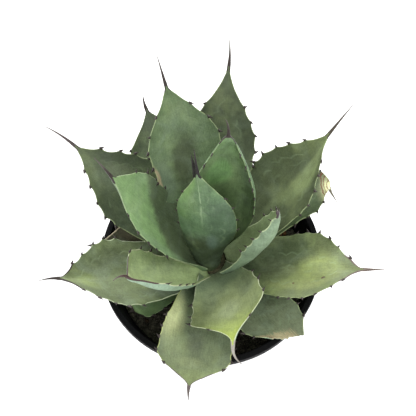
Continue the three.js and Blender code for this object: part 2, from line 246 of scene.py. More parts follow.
skinPattern = {
    # noise scales, in steps a millimetre
    "medium": 0.16, "fine": 0.9, "fibre": 1.6, "wax": 0.045, "wander": 0.05, "breaks": 0.11,
    "specks": 0.075, "fibreSquash": (1.0, 0.06, 1.0), "leafApart": 37.0,
    # how much each noise lightens and darkens the skin
    "shades": {"medium": 0.64, "fine": 0.62, "fibre": 0.36, "broad": 0.5},
    # what is laid over it
    "waxTone": (0.20, 0.26, 0.20), "printTone": (0.26, 0.36, 0.20), "foldHighlightTone": (0.30, 0.40, 0.24),
    "speckTone": (0.10, 0.055, 0.03), "scarTone": (0.16, 0.05, 0.03),
    # two rows of prints, each with its inset, the length of its scallops and its strength as shares
    "prints": ((1.0, 1.0, 1.0), (1.9, 1.35, 0.6)), "printShare": 0.26, "printWidth": 1.5,
    "scallop": 2.6, "wandering": 9.0,
}


def spot(at, reach, tone, strength, soft=0.6, lean=0.0):
    # a coloured place on a leaf, in shares across (-1 is the clockwise edge) and along it
    return {"at": at, "reach": reach, "tone": tone, "strength": strength, "soft": soft, "lean": lean}


class LeafSkin(Finish):
    # leafMap holds millimetres across and from the tip; leafPlace holds the share across, the share
    # along and the millimetres from the margin; horn and underside are masks
    def __init__(self, name, look, seed):
        super().__init__(name)
        self.look = {**skinDefaults, **look}
        p = skinPattern
        leafMap = self.attribute("leafMap")
        apart = (0, 0, seed * p["leafApart"])
        self.flat = self.node("VectorMath", {"operation": "ADD"}, {0: leafMap, 1: apart})
        self.across, self.along, self.fromMargin = self.parts(self.attribute("leafPlace"))
        self.fromTip = self.parts(leafMap)[1]
        self.underside = self.attribute("underside", "Fac") * self.look["underShare"]
        self.broad = self.noise(self.flat, 1 / self.look["blotchSize"], 3.0, 0.55)
        self.medium = self.noise(self.flat, p["medium"], 4.0, 0.6)
        self.fine = self.noise(self.flat, p["fine"], 4.0, 0.65)
        self.fibre = self.noise(self.scaled(self.flat, p["fibreSquash"]), p["fibre"], 3.0, 0.6)

    def ground(self):
        # the tones from the foot to the tip, and blotches; a foot darker than the rest is painted shade
        look = self.look
        ragged = self.along + self.across * look["lean"] + (self.medium - 0.5) * 0.10
        low, high = look["change"] - look["soft"], look["change"] + look["soft"]
        color = self.blend(self.ease(ragged, low, high), look["foot"], look["main"])
        tipward = self.ease(self.along + (self.broad - 0.5) * 0.2, look["tipFrom"], 1.0)
        color = self.blend(tipward * look["tipShare"], color, look["tip"])
        return self.blend(self.ease(self.broad, 0.5, 0.68) * look["blotches"], color, look["blotch"])

    def patch(self, color, place):
        # one coloured place with a ragged rim
        away = self.along - place["at"][1]
        dx = (self.across - place["at"][0] - away * place["lean"]) * (1 / place["reach"][0])
        dy = away * (1 / place["reach"][1])
        far = (dx * dx + dy * dy) ** 0.5 + (self.medium - 0.5) * 0.5
        far = far + (self.fibre - 0.5) * self.look["fibres"]
        share = self.ease(far, 1 - place["soft"], 1 + 0.3 * place["soft"], place["strength"], 0.0)
        return self.blend(share, color, place["tone"])

    def wax(self, color):
        # a bluish bloom in clouds
        cloud = self.ease(self.noise(self.flat, skinPattern["wax"], 4.0, 0.6, 1.2), 0.42, 0.75)
        return self.blend(cloud * self.look["bloom"], color, skinPattern["waxTone"])

    def mottling(self):
        # a grey near white, lightened and darkened by all the noises
        noises = {"medium": self.medium, "fine": self.fine, "fibre": self.fibre, "broad": self.broad}
        shade = 1.0
        for name, strength in skinPattern["shades"].items():
            shade = (noises[name] - 0.5) * (strength * self.look["mottle"]) + shade
        return self.vector(shade, shade, shade)

    def prints(self):
        # soft scalloped prints of the leaves that were pressed on it in the bud
        p, look = skinPattern, self.look
        wander = (self.noise(self.flat, p["wander"], 2.0) - 0.5) * p["wandering"]
        broken = self.ease(self.noise(self.flat, p["breaks"], 2.0), 0.42, 0.6)
        broken = broken * self.ease(self.along, 0.2, 0.4)
        lines = 0.0
        for depth, pitch, share in p["prints"]:
            turn = self.fromTip * (math.pi / (look["imprintPitch"] * pitch))
            arcs = abs(self.node("Math", {"operation": "SINE"}, {0: turn})) * p["scallop"]
            off = abs(self.fromMargin + arcs - wander * depth - look["imprintInset"] * depth - 2.0)
            lines = self.fade(off, 0.0, p["printWidth"]) * share + lines
        return lines * broken * (1 - self.underside)

    def marks(self, color):
        # a painted highlight along the fold down the middle, small brown specks and cross scars
        p, look = skinPattern, self.look
        # painted highlight: a pale line down the middle fold, where the ridge catches the light
        if look["foldHighlight"]:
            fold = abs(self.across + (self.medium - 0.5) * 0.16 + (1 - self.along) * 0.10)
            fold = self.fade(fold, 0.0, 0.05) * self.ease(self.along, 0.45, 0.75)
            fold = fold * self.ease(self.medium, 0.35, 0.5)
            color = self.blend(fold * look["foldHighlight"], color, p["foldHighlightTone"])
        cells = {"Vector": self.flat, "Scale": p["specks"], "Randomness": 1.0}
        speck = self.fade(self.node("TexVoronoi", {}, cells), 0.03, 0.075)
        speck = speck * self.ease(self.fine, 0.4, 0.55)
        color = self.blend(speck * look["specks"], color, p["speckTone"])
        for place in look["scars"]:
            gap = abs(self.along - place + (self.medium - 0.5) * 0.07 + self.across * 0.02)
            color = self.blend(self.fade(gap, 0.002, 0.008) * 0.8, color, p["scarTone"])
        return color

    def marginLine(self):
        # the pale line along the margin, broken here and there
        width = self.look["marginWidth"]
        line = self.fade(self.fromMargin + (self.medium - 0.5) * 0.5, width * 0.4, width * 1.5)
        return line * self.ease(self.medium, 0.36, 0.54, 0.15, 1.0)

    def horny(self, color):
        # the spine, the brown that runs down from it, and the stains beside the teeth
        look = self.look
        reach = look["hornReach"]
        edging = self.fade(self.fromMargin, 0.5, 1.3) * self.fade(self.fromTip, reach * 0.6, reach)
        mask = self.attribute("horn", "Fac") + edging + (self.medium - 0.5) * 0.3
        pointed = self.ease(self.fromTip * -1.0, 4.0, 18.0) * (1.2 * look["wear"])
        worn = self.ease(self.fine, 0.45, 0.8) * look["wear"]
        tone = self.blend(worn, look["spine"], hornColors["worn"])
        tone = self.blend(pointed, tone, hornColors["point"])
        return self.blend(self.ease(mask, 0.4, 0.65), color, tone)


def leafSkin(name, look, seed):
    skin = LeafSkin(name, look, seed)
    look = skin.look
    color = skin.ground()
    for place in look["patches"]:
        color = skin.patch(color, place)
    mottling = skin.mottling()
    color = skin.blend(1.0, skin.wax(color), mottling, "MULTIPLY")
    prints = skin.prints()
    color = skin.blend(prints * (look["imprint"] * skinPattern["printShare"]), color,
                       skinPattern["printTone"])
    color = skin.marks(color)
    under = skin.blend(1.0, look["under"], mottling, "MULTIPLY")
    color = skin.blend(skin.ease(skin.underside, 0.55, 0.95), color, under)
    line = skin.marginLine()
    color = skin.horny(skin.blend(line * look["marginShare"], color, look["margin"]))
    height = skin.fibre * 0.30 + skin.fine * 0.25 + skin.medium * 0.6 - prints * 0.35 - line * 0.2
    rough = skin.ease(skin.medium, 0.3, 0.7, 0.46, 0.60)
    return skin.close(Base_Color=color, Roughness=rough, Specular_IOR_Level=0.28,
                      Normal=skin.bump(height, 0.0007, 0.5))


bladeDefaults = {
    # how high the margins turn up on the blade and at its foot, and how much more on one side
    "cup": 32, "clasp": 45, "curl": 0,
    # where it is widest, the foot's share of the width, how it narrows, and how late it bends
    "widest": 0.55, "neck": 0.55, "taper": 1.2, "bend": 1,
    # degrees turned by the tip and rolled over; the spine's length and how it rises and turns
    "sweep": 0, "roll": 0, "spine": 20, "lift": 0, "swing": 0,
    # teeth on each margin, how far the first is from the tip, and how high their cusps stand
    "firstTooth": 24, "toothPitch": 11, "teeth": 5, "cusp": 1,
    # torn is the share of the length that is left, and its clockwise side is tearSlant shorter
    "thickness": 1, "torn": 1, "tearSlant": 0, "flutter": 0.7,
}
bladeShape = {
    "footThickness": 6.5, "endThickness": 2.2, "margin": 0.55, "edgeBulge": 0.35,
    "spineRadius": 1.35, "spineEnd": 0.2, "spineFlat": 0.85, "roundReach": 9.0,
    "claspReach": 0.4, "rollReach": 0.5, "hollowPower": 1.4, "neckPower": 1.15,
    "toothBump": 2.0, "toothSpread": 2.5, "marginWave": 0.35, "rippleLength": 17,
    "lumps": 0.5, "channel": 0.5, "channelWidth": 2.6,
    "frayReach": 0.06, "coarseFray": 2.4, "fineFray": 1.2,
    "rowPitch": 0.95, "sideSteps": 14, "spineRows": 14, "facesApart": 40.0,
}
teethSettings = {
    "length": 3.3, "width": 1.0, "hook": 1.2, "sink": 0.7, "sides": 8, "segments": 4,
    "point": 0.08, "stretch": (1.35, 0.7, 1.0),
    # their sizes as shares, how far each strays from its place as a share of the pitch, how low on
    # the leaf they stand, and how far the margin is stained beside them
    "smallest": 0.75, "largest": 1.15, "stray": 0.12, "lowest": 0.27, "clearOfTear": 3,
    "stainReach": 2.3, "stainSoft": 1.3,
}

leafSizes = {
    # turn and rise aim the foot and tipRise the tip; height, radius and foot, an angle, place it
    "heart_leaf": dict(
        turn=286, rise=96, tipRise=115, length=111, width=44, height=113, radius=5.5, foot=260,
        cup=29, clasp=60, widest=0.56, neck=0.45, taper=1.23, roll=-31, sweep=1, spine=19, lift=1,
        swing=-6, thickness=0.8, firstTooth=26, toothPitch=12, teeth=4, cusp=0.35),
    "inner_leaf_back": dict(
        turn=82, rise=70, tipRise=66, length=111, width=64, height=112, radius=12, foot=60, cup=68,
        clasp=80, curl=38, widest=0.5, neck=0.2, taper=0.79, roll=13, spine=14, lift=-8, swing=52,
        thickness=0.6, firstTooth=10, toothPitch=8, teeth=7),
    "inner_leaf_left": dict(
        turn=163, rise=48, tipRise=62, length=117, width=52, height=112, radius=5, cup=20, clasp=85,
        widest=0.62, neck=0.58, taper=1.23, roll=19, sweep=-7, spine=22, lift=-5, swing=-2,
        toothPitch=12, cusp=0.5),
    "inner_leaf_right": dict(
        turn=3, rise=46, tipRise=98, length=108, width=41, height=111, radius=12, foot=345, cup=29,
        clasp=80, curl=73, widest=0.49, neck=0.66, taper=1.28, roll=-15, sweep=-14, spine=5,
        thickness=0.5, firstTooth=12, toothPitch=12),
    "inner_leaf_front_left": dict(
        turn=204, rise=29, tipRise=68, length=93, width=50, height=111, radius=12, foot=261, cup=65,
        clasp=65, widest=0.71, neck=0.12, roll=23, sweep=2, spine=21, lift=-30, swing=37,
        thickness=0.8, firstTooth=20, toothPitch=13, teeth=4),
    "middle_leaf_back_left": dict(
        turn=106, rise=42, tipRise=41, length=131, width=56, height=111, radius=8, cup=33,
        widest=0.65, taper=1.32, roll=8, sweep=4, spine=22, swing=2, firstTooth=19, toothPitch=12,
        cusp=0.6),
    "middle_leaf_front": dict(
        turn=293, rise=44, tipRise=25, length=89, width=57, height=108, radius=10, foot=285, cup=27,
        clasp=70, widest=0.64, neck=0.45, taper=2.38, roll=25, sweep=-26, spine=17, lift=1,
        swing=52, firstTooth=20, toothPitch=12, teeth=4),
    "middle_leaf_back_right": dict(
        turn=38, rise=32, tipRise=42, length=127, width=55, height=108, radius=9, cup=24,
        widest=0.59, neck=0.39, taper=1.48, roll=-11, sweep=3, spine=27, lift=-2, swing=-1,
        firstTooth=18, toothPitch=10),
    "middle_leaf_left": dict(
        turn=144, rise=27, tipRise=28, length=128, width=54, height=105, radius=9, widest=0.57,
        neck=0.42, taper=1.41, roll=-6, sweep=3, spine=26, lift=-9, swing=15, firstTooth=17,
        cusp=1.4),
    "middle_leaf_back": dict(
        turn=85, rise=30, tipRise=31, length=141, width=52, height=105, radius=9, widest=0.59,
        neck=0.52, taper=1.59, roll=-2, sweep=-2, spine=19, swing=13, firstTooth=31,
        toothPitch=10.5),
    "outer_leaf_left": dict(
        turn=198, rise=20, tipRise=30, length=113, width=61, height=103, radius=10, cup=20,
        widest=0.58, neck=0.48, taper=1.31, roll=17, sweep=-7, spine=15, lift=-4, swing=19,
        firstTooth=14, toothPitch=10, flutter=1.0, cusp=1.5),
    "outer_leaf_right": dict(
        turn=347, rise=27, tipRise=20, length=112, width=59, height=102, radius=10, cup=18,
        widest=0.61, neck=0.47, taper=1.47, roll=-16, sweep=5, spine=14, lift=-1, firstTooth=13,
        toothPitch=9, teeth=6),
    "outer_leaf_front": dict(
        turn=260, rise=37, tipRise=-16, length=96, width=53, height=100, radius=10, widest=0.77,
        neck=0.42, taper=1.46, roll=-8, sweep=2, spine=9, swing=15, firstTooth=15, toothPitch=8,
        flutter=0.9),
    "outer_leaf_back": dict(
        turn=115, rise=19, tipRise=21, length=120, width=53, height=101, radius=10, cup=31,
        widest=0.7, taper=1.5, sweep=-2, spine=10, swing=-20, firstTooth=28, toothPitch=9),
    "bent_leaf_right": dict(
        turn=36, rise=22, tipRise=-80, bend=5, length=110, width=37, height=101, radius=10, cup=60,
        clasp=60, widest=0.73, neck=0.74, taper=1.47, roll=30, sweep=-41, spine=18, lift=35,
        swing=-43, firstTooth=18, teeth=4),
    "torn_leaf_front_right": dict(
        turn=312, rise=24, tipRise=2, length=100, width=44, height=99, radius=10, cup=33,
        widest=0.61, neck=0.54, taper=1.21, roll=-1, sweep=-5, torn=0.84, firstTooth=26,
        toothPitch=10, tearSlant=15),
    "short_leaf_front_left": dict(
        turn=214, rise=7, tipRise=-4, length=60, width=27, height=98, radius=10, cup=35,
        widest=0.85, neck=0.5, taper=0.85, roll=12, sweep=-4, spine=3, thickness=0.7, firstTooth=12,
        toothPitch=9, teeth=3, flutter=1.0),
    "dead_leaf_left": dict(
        turn=174, rise=21, tipRise=4, bend=3, length=83, width=43, height=96, radius=10,
        widest=0.67, taper=1.72, sweep=6, spine=4, thickness=0.35, teeth=0, flutter=2.2),
}

yellow, tan = (0.26, 0.33, 0.10), (0.42, 0.33, 0.20)

leafLooks = {
    "heart_leaf": dict(
        # painted shade: the very dark foot is the shade deep among the leaves round it
        foot=(0.035, 0.052, 0.026), main=(0.102, 0.172, 0.087), tip=(0.094, 0.162, 0.066),
        change=0.42, soft=0.07, lean=-0.05, underShare=0.0, foldHighlight=0.7, imprint=0.8,
        spine=(0.010, 0.008, 0.008), wear=0.15, marginShare=0.5, patches=[
            # painted shadow: this dark place is the shadow that the leaves beside it cast on the blade
            spot((0.60, 0.54), (0.68, 0.30), (0.050, 0.088, 0.048), 0.8),
            spot((-0.75, 0.78), (0.45, 0.30), (0.150, 0.250, 0.085), 0.6),
            # painted highlight: a pale bluish sheen low on the blade
            spot((0.20, 0.36), (0.22, 0.10), (0.10, 0.16, 0.13), 0.4)]),
    "inner_leaf_back": dict(
        foot=(0.13, 0.19, 0.08), main=(0.150, 0.225, 0.10), tip=(0.13, 0.22, 0.09),
        under=(0.12, 0.19, 0.10), marginShare=0.3, patches=[
            # painted light: a bright place where light falls through a gap between the leaves
            spot((0.16, 0.70), (0.40, 0.12), (0.17, 0.32, 0.115), 0.8, 0.4),
            # painted shadow: the dark place by the curled clockwise margin, in the heart leaf's shade
            spot((-0.70, 0.66), (0.35, 0.36), (0.062, 0.100, 0.042), 0.75)]),
    "inner_leaf_left": dict(
        # painted shadow: the dark foot colour, its sharp change and its lean are the shadow that the
        # inner leaves cast across the blade
        foot=(0.090, 0.125, 0.062), main=(0.185, 0.30, 0.125), tip=(0.185, 0.29, 0.125),
        change=0.50, soft=0.05, lean=0.21, margin=(0.36, 0.45, 0.25), under=(0.14, 0.21, 0.11),
        patches=[
            spot((0.86, 0.45), (0.20, 0.30), (0.19, 0.29, 0.15), 0.7)]),
    "inner_leaf_right": dict(
        foot=(0.30, 0.38, 0.19), main=(0.30, 0.39, 0.20), tip=(0.17, 0.23, 0.13),
        under=(0.185, 0.260, 0.165), margin=(0.50, 0.58, 0.34), marginShare=0.9,
        spine=(0.05, 0.035, 0.04)),
    "inner_leaf_front_left": dict(
        foot=(0.29, 0.375, 0.17), main=(0.30, 0.38, 0.18), tip=(0.30, 0.365, 0.17),
        under=(0.24, 0.34, 0.235), marginShare=0.85, margin=(0.50, 0.52, 0.32),
        spine=(0.06, 0.032, 0.032), imprint=0.2, hornReach=19.0),
    "middle_leaf_back_left": dict(
        foot=(0.13, 0.20, 0.12), main=(0.105, 0.155, 0.075), tip=(0.100, 0.150, 0.065), patches=[
            # painted shadow: the first, dark place, which leans along the blade, is the heart leaf's
            # shadow
            spot((0.05, 0.55), (0.45, 0.20), (0.060, 0.078, 0.038), 0.9, 0.6, -0.9),
            spot((0.70, 0.48), (0.30, 0.14), (0.150, 0.20, 0.130), 0.6),
            spot((1.0, 0.50), (0.13, 0.10), tan, 0.9, 0.4)]),
    "middle_leaf_front": dict(
        foot=(0.15, 0.20, 0.12), main=(0.195, 0.235, 0.105), tip=(0.34, 0.42, 0.085), tipFrom=0.56,
        tipShare=1.0, spine=(0.33, 0.31, 0.27), marginShare=0.85, margin=(0.55, 0.60, 0.40),
        imprint=0.25, bloom=0.1, patches=[
            spot((0.0, 0.58), (0.35, 0.12), (0.30, 0.35, 0.20), 0.45),
            spot((0.65, 0.42), (0.40, 0.16), (0.115, 0.145, 0.080), 0.7),
            spot((-0.55, 0.40), (0.30, 0.16), (0.13, 0.165, 0.095), 0.5)]),
    "middle_leaf_back_right": dict(
        # painted shade: the dark foot and main colours are shade; the two lighter places are where
        # light falls on the clockwise half
        foot=(0.055, 0.075, 0.038), main=(0.055, 0.073, 0.031), tip=(0.160, 0.205, 0.080),
        tipFrom=0.72, spine=(0.06, 0.05, 0.035), bloom=0.12, patches=[
            spot((-0.48, 0.76), (0.38, 0.21), (0.160, 0.205, 0.085), 0.85, 0.5, -0.9),
            spot((-0.20, 0.48), (0.20, 0.13), (0.110, 0.145, 0.062), 0.5, 0.6, -0.9)]),
    "middle_leaf_left": dict(
        foot=(0.085, 0.105, 0.06), main=(0.066, 0.086, 0.046), tip=(0.080, 0.105, 0.050),
        spine=(0.06, 0.045, 0.045), bloom=0.12, patches=[
            spot((-0.30, 0.68), (0.40, 0.13), (0.125, 0.150, 0.085), 0.7),
            spot((0.35, 0.45), (0.40, 0.20), (0.048, 0.068, 0.035), 0.6)]),
    "middle_leaf_back": dict(
        # painted shade: the very dark main colour is the shade that the leaves beside it cast
        foot=(0.13, 0.17, 0.10), main=(0.044, 0.058, 0.029), tip=(0.080, 0.102, 0.050), change=0.45,
        tipFrom=0.72, spine=(0.035, 0.025, 0.022), bloom=0.12, patches=[
            spot((-0.40, 0.55), (0.30, 0.20), (0.085, 0.112, 0.060), 0.6)]),
    "outer_leaf_left": dict(
        foot=(0.07, 0.095, 0.050), main=(0.115, 0.145, 0.068), tip=(0.095, 0.120, 0.050),
        tipFrom=0.8, hornReach=18.0, margin=(0.44, 0.50, 0.32), marginShare=0.9, patches=[
            # painted shadow: the first, dark place by the foot lies under inner_leaf_front_left
            spot((0.60, 0.24), (0.60, 0.20), (0.036, 0.052, 0.025), 0.9),
            spot((-0.50, 0.86), (0.50, 0.16), (0.085, 0.108, 0.045), 0.7),
            spot((0.25, 0.62), (0.45, 0.26), (0.185, 0.230, 0.115), 0.8),
            spot((0.20, 0.80), (0.45, 0.09), yellow, 0.35),
            spot((0.35, 0.92), (0.40, 0.10), (0.17, 0.21, 0.09), 0.6),
            spot((-0.60, 0.62), (0.30, 0.16), (0.070, 0.088, 0.042), 0.6)]),
    "outer_leaf_right": dict(
        foot=(0.065, 0.090, 0.045), main=(0.150, 0.185, 0.080), tip=(0.105, 0.130, 0.042),
        imprint=1.0, imprintInset=14.0, spine=(0.12, 0.09, 0.075), blotch=yellow, blotches=0.3,
        tipFrom=0.8, bloom=0.15, hornReach=22.0, patches=[
            spot((-0.05, 0.70), (0.75, 0.20), (0.25, 0.30, 0.090), 0.6),
            spot((-0.55, 0.58), (0.20, 0.24), (0.25, 0.29, 0.11), 0.7),
            # painted shadow: this dark place low on the blade is the shadow of inner_leaf_right
            spot((0.50, 0.43), (0.55, 0.23), (0.070, 0.095, 0.045), 0.85),
            spot((0.0, 0.36), (0.40, 0.10), (0.10, 0.125, 0.065), 0.6),
            spot((-0.37, 0.735), (0.055, 0.016), (0.07, 0.03, 0.015), 0.9, 0.4),
            spot((-0.50, 0.545), (0.035, 0.010), (0.12, 0.06, 0.03), 0.8, 0.4)]),
    "outer_leaf_front": dict(
        foot=(0.085, 0.120, 0.070), main=(0.120, 0.150, 0.080), tip=(0.175, 0.215, 0.085),
        tipFrom=0.70, margin=(0.46, 0.52, 0.20), spine=(0.10, 0.08, 0.075), bloom=0.15,
        hornReach=15.0, patches=[
            spot((-0.85, 0.50), (0.45, 0.22), (0.43, 0.47, 0.23), 0.9, 0.7, 0.4),
            spot((-0.55, 0.70), (0.45, 0.12), (0.20, 0.245, 0.11), 0.6),
            # painted shadow: the dark place in the middle is the shadow of middle_leaf_front
            spot((0.0, 0.64), (0.30, 0.12), (0.090, 0.105, 0.065), 0.6),
            spot((-0.10, 0.82), (0.50, 0.05), (0.23, 0.27, 0.13), 0.4)]),
    "outer_leaf_back": dict(
        foot=(0.08, 0.11, 0.06), main=(0.110, 0.135, 0.078), tip=(0.045, 0.060, 0.035)),
    "bent_leaf_right": dict(
        foot=(0.10, 0.15, 0.07), main=(0.075, 0.105, 0.048), tip=(0.84, 0.85, 0.48), tipFrom=0.79,
        tipShare=1.0, scars=(0.868, 0.893, 0.930), spine=(0.10, 0.09, 0.05), blotches=0.0,
        bloom=0.1, under=(0.14, 0.19, 0.10)),
    "torn_leaf_front_right": dict(
        foot=(0.060, 0.078, 0.044), main=(0.145, 0.175, 0.100), tip=(0.17, 0.20, 0.115),
        change=0.45, imprint=0.7, fibres=1.4, patches=[
            spot((-0.15, 0.62), (0.30, 0.12), (0.095, 0.120, 0.065), 0.6),
            spot((-0.30, 0.86), (1.0, 0.11), (0.40, 0.34, 0.19), 0.95, 0.35, -0.12),
            spot((-0.85, 0.80), (0.35, 0.070), tan, 0.8, 0.5)]),
    "short_leaf_front_left": dict(
        foot=(0.07, 0.11, 0.05), main=(0.13, 0.20, 0.085), tip=(0.17, 0.26, 0.11), marginShare=0.5,
        margin=(0.30, 0.40, 0.20)),
    "dead_leaf_left": dict(
        foot=(0.028, 0.023, 0.013), main=(0.045, 0.040, 0.022), tip=(0.075, 0.068, 0.040),
        under=(0.05, 0.035, 0.02), margin=(0.50, 0.42, 0.30), marginWidth=0.9, marginShare=0.95,
        blotch=(0.09, 0.06, 0.03), imprint=0.0, bloom=0.1, mottle=1.6),
}


def heading(rise, turn):
    # a direction from degrees above level and degrees round the pot
    rise, turn = math.radians(rise), math.radians(turn)
    return Vector((math.cos(rise) * math.cos(turn), math.cos(rise) * math.sin(turn), math.sin(rise)))


def bladeTurn(leaf, place):
    return leaf["turn"] + leaf["sweep"] * place ** leaf["bend"]


def bladeHeading(leaf, place):
    rise = mix(leaf["rise"], leaf["tipRise"], place ** leaf["bend"])
    return heading(rise, bladeTurn(leaf, place))


def walkBlade(leaf, places):
    # the midrib's points, each with the directions along, across and out of the blade
    foot = math.radians(leaf.get("foot", leaf["turn"]))
    radius = leaf["radius"]
    point = Vector((radius * math.cos(foot), radius * math.sin(foot), leaf["height"]))
    rows, walked = [], 0.0
    for place in places:
        point = point + bladeHeading(leaf, (walked + place) / 2) * (leaf["length"] * (place - walked))
        walked = place
        along = bladeHeading(leaf, place)
        turn = math.radians(bladeTurn(leaf, place))
        side = Vector((-math.sin(turn), math.cos(turn), 0))
        roll = math.radians(leaf["roll"]) * smoothstep(place, 0, bladeShape["rollReach"])
        side = side * math.cos(roll) + along.cross(side) * math.sin(roll)
        rows.append((point, along, side, along.cross(side)))
    return rows


def walkSpine(leaf, tip, count):
    # the same for the spine, which carries on from the blade's last row
    point, _, tipSide, _ = tip
    rows = []
    for i in range(1, count + 1):
        middle = (i - 0.5) / count
        turn = leaf["turn"] + leaf["sweep"] + leaf["swing"] * middle
        along = heading(leaf["tipRise"] + leaf["lift"] * middle, turn)
        point = point + along * (leaf["spine"] / count)
        side = (tipSide - along * tipSide.dot(along)).normalized()
        rows.append((point, along, side, along.cross(side)))
    return rows


def halfWidth(leaf, place):
    # the outline: out from the neck to the widest place, then in to the spine
    widest, neck = leaf["widest"], leaf["neck"]
    if place < widest:
        share = mix(neck, 1, math.sin(math.pi / 2 * (place / widest) ** bladeShape["neckPower"]))
    else:
        share = math.sin(math.pi / 2 * min(1, (1 - place) / (1 - widest)) ** leaf["taper"])
    return max(bladeShape["spineRadius"], leaf["width"] / 2 * share)


def turnUp(leaf, place, side):
    # the angle that one margin turns up by; the foot clasps the stem
    own = abs(leaf["curl"]) if leaf["curl"] * -side > 0 else 0
    cup = leaf["cup"] + own
    opened = smoothstep(place, 0, bladeShape["claspReach"])
    return math.radians(mix(max(cup, leaf["clasp"]), cup, opened))


def toothPlaces(leaf, draw):
    # millimetres from the tip and size, for the clockwise (-1) and the other (1) margin
    t = teethSettings
    left = leaf["torn"] * leaf["length"]
    places = {-1: [], 1: []}
    for i in range(leaf["teeth"]):
        for side in places:
            away = leaf["firstTooth"] + (i + draw.uniform(-t["stray"], t["stray"])) * leaf["toothPitch"]
            inside = left > leaf["length"] - away + t["clearOfTear"]
            if inside and 1 - away / leaf["length"] > t["lowest"]:
                places[side].append((away, draw.uniform(t["smallest"], t["largest"])))
    return places


def toothStain(fromTip, teeth, side):
    # the margin is dark beside its teeth
    reach, soft = teethSettings["stainReach"], teethSettings["stainSoft"]
    stains = [smoothstep(reach * size - abs(fromTip - away), 0, soft) for away, size in teeth[side]]
    return max(stains, default=0)


def marginReach(leaf, fromTip, teeth, side, seed):
    # how far the margin stands out: low cusps under the teeth with hollows between them
    reach = bladeShape["marginWave"] * noise.noise(Vector((fromTip / 8, side * 9, seed * 7.3)))
    for away, size in teeth[side]:
        off = abs(fromTip - away) / bladeShape["toothSpread"]
        reach += bladeShape["toothBump"] * leaf["cusp"] * size * math.exp(-off ** 1.25)
    return reach


def crossLine(leaf, place, half, reaches):
    # the upper face of one row, from the clockwise edge to the other: share, x, y and slope
    power = bladeShape["hollowPower"]
    sides = []
    for way in (-1, 1):
        bend = turnUp(leaf, place, way)
        x = y = 0.0
        line = []
        for before, after in zip(reaches, reaches[1:]):
            angle = bend * ((before + after) / 2) ** power
            x += half * (after - before) * math.cos(angle)
            y += half * (after - before) * math.sin(angle)
            line.append((way * after, way * x, y, way * bend * after ** power))
        sides.append(line)
    return sides[0][::-1] + [(0.0, 0.0, 0.0, 0.0)] + sides[1]


def skinRise(leaf, q, half, fromTip, seed):
    # the margin's ripple, low lumps and a shallow channel down the middle
    shape = bladeShape
    way = -1 if q < 0 else 1
    ripple = noise.noise(Vector((fromTip / shape["rippleLength"], way * 3, seed * 3.1)))
    lumps = noise.noise(Vector((q * half / 11, fromTip / 15, seed * 5.7)))
    channel = math.exp(-(q * half / shape["channelWidth"]) ** 2)
    return leaf["flutter"] * q * q * ripple + (shape["lumps"] * lumps - shape["channel"] * channel)


def bladeRow(leaf, place, teeth, seed, reaches):
    # one row's points as (share across, upper point, lower point, slope)
    shape = bladeShape
    half = halfWidth(leaf, place)
    fromTip = (1 - place) * leaf["length"]
    thick = mix(shape["footThickness"], shape["endThickness"], place ** 0.7) * leaf["thickness"]
    rounding = 1 - smoothstep(fromTip, 0, shape["roundReach"]) if leaf["torn"] == 1 else 0
    row = []
    for q, x, y, angle in crossLine(leaf, place, half, reaches):
        way = -1 if q < 0 else 1
        depth = mix(shape["margin"], thick, 1 - q * q)
        out = marginReach(leaf, fromTip, teeth, way, seed)
        out = out * smoothstep(abs(q), 0.8, 1.0) * (1 - rounding)
        rise = skinRise(leaf, q, half, fromTip, seed) * (1 - rounding)
        x += way * out * math.cos(angle) - rise * math.sin(angle)
        y += out * math.sin(abs(angle)) + rise * math.cos(angle)
        top = (x, y)
        low = (x + depth * math.sin(angle), y - depth * math.cos(angle))
        if rounding > 0:
            # near the tip both faces draw together into the round of the spine
            turn = math.radians(90 - 84 * q)
            tube = mix(shape["spineRadius"], half, 0.6)
            wide, tall = tube * math.cos(turn), tube * 0.8 * math.sin(turn)
            top = tuple(mix(a, b, rounding) for a, b in zip(top, (wide, tall - depth / 2)))
            low = tuple(mix(a, b, rounding) for a, b in zip(low, (wide, -tall - depth / 2)))
        row.append((q, top, low, angle))
    return row, half, fromTip, rounding


def tornBack(leaf, place, q, seed):
    # how far a torn blade's points draw back: its end is slanted and frayed
    back = leaf["tearSlant"] * (place / leaf["torn"]) ** 3 * (1 - q) / 2
    if leaf["torn"] < 1:
        shape = bladeShape
        fray = smoothstep(place, leaf["torn"] - shape["frayReach"], leaf["torn"])
        back -= fray * shape["coarseFray"] * noise.noise(Vector((q * 5, seed, 0)))
        back -= fray * shape["fineFray"] * noise.noise(Vector((q * 19, seed, 4)))
    return back


def spinePoints(leaf, tip, ringSize):
    # the spine's rings, from the clockwise edge over the top to the other edge, then back below:
    # the point, how far across it lies and its share of the spine's length
    shape = bladeShape
    rows = walkSpine(leaf, tip, shape["spineRows"])
    for i, (point, along, side, lift) in enumerate(rows, 1):
        share = i / len(rows)
        radius = mix(shape["spineRadius"], shape["spineEnd"], share ** 0.85)
        depth = shape["endThickness"] * leaf["thickness"] * (1 - share) * 0.5
        for k in range(ringSize):
            turn = math.pi * (1 - k / (ringSize // 2))
            wide = radius * math.cos(turn)
            tall = radius * shape["spineFlat"] * math.sin(turn) - depth / 2
            yield point + side * wide + lift * tall, wide, share


def bladeFaces(rings, ringSize, width):
    # quads between the rings, then both ends closed by strips from the upper to the lower face
    faces = []
    for i in range(rings - 1):
        for k in range(ringSize):
            a, b = i * ringSize + k, i * ringSize + (k + 1) % ringSize
            faces.append((a, b, b + ringSize, a + ringSize))
    for start in (0, (rings - 1) * ringSize):
        for k in range(width - 1):
            a, d = start + k, start + ringSize - 2 - k
            faces.append((a, a + 1, d - 1, d))
        faces.append((start, start + ringSize - 2, start + ringSize - 1))
        faces.append((start + width - 1, start + width, start + width + 1))
    return faces


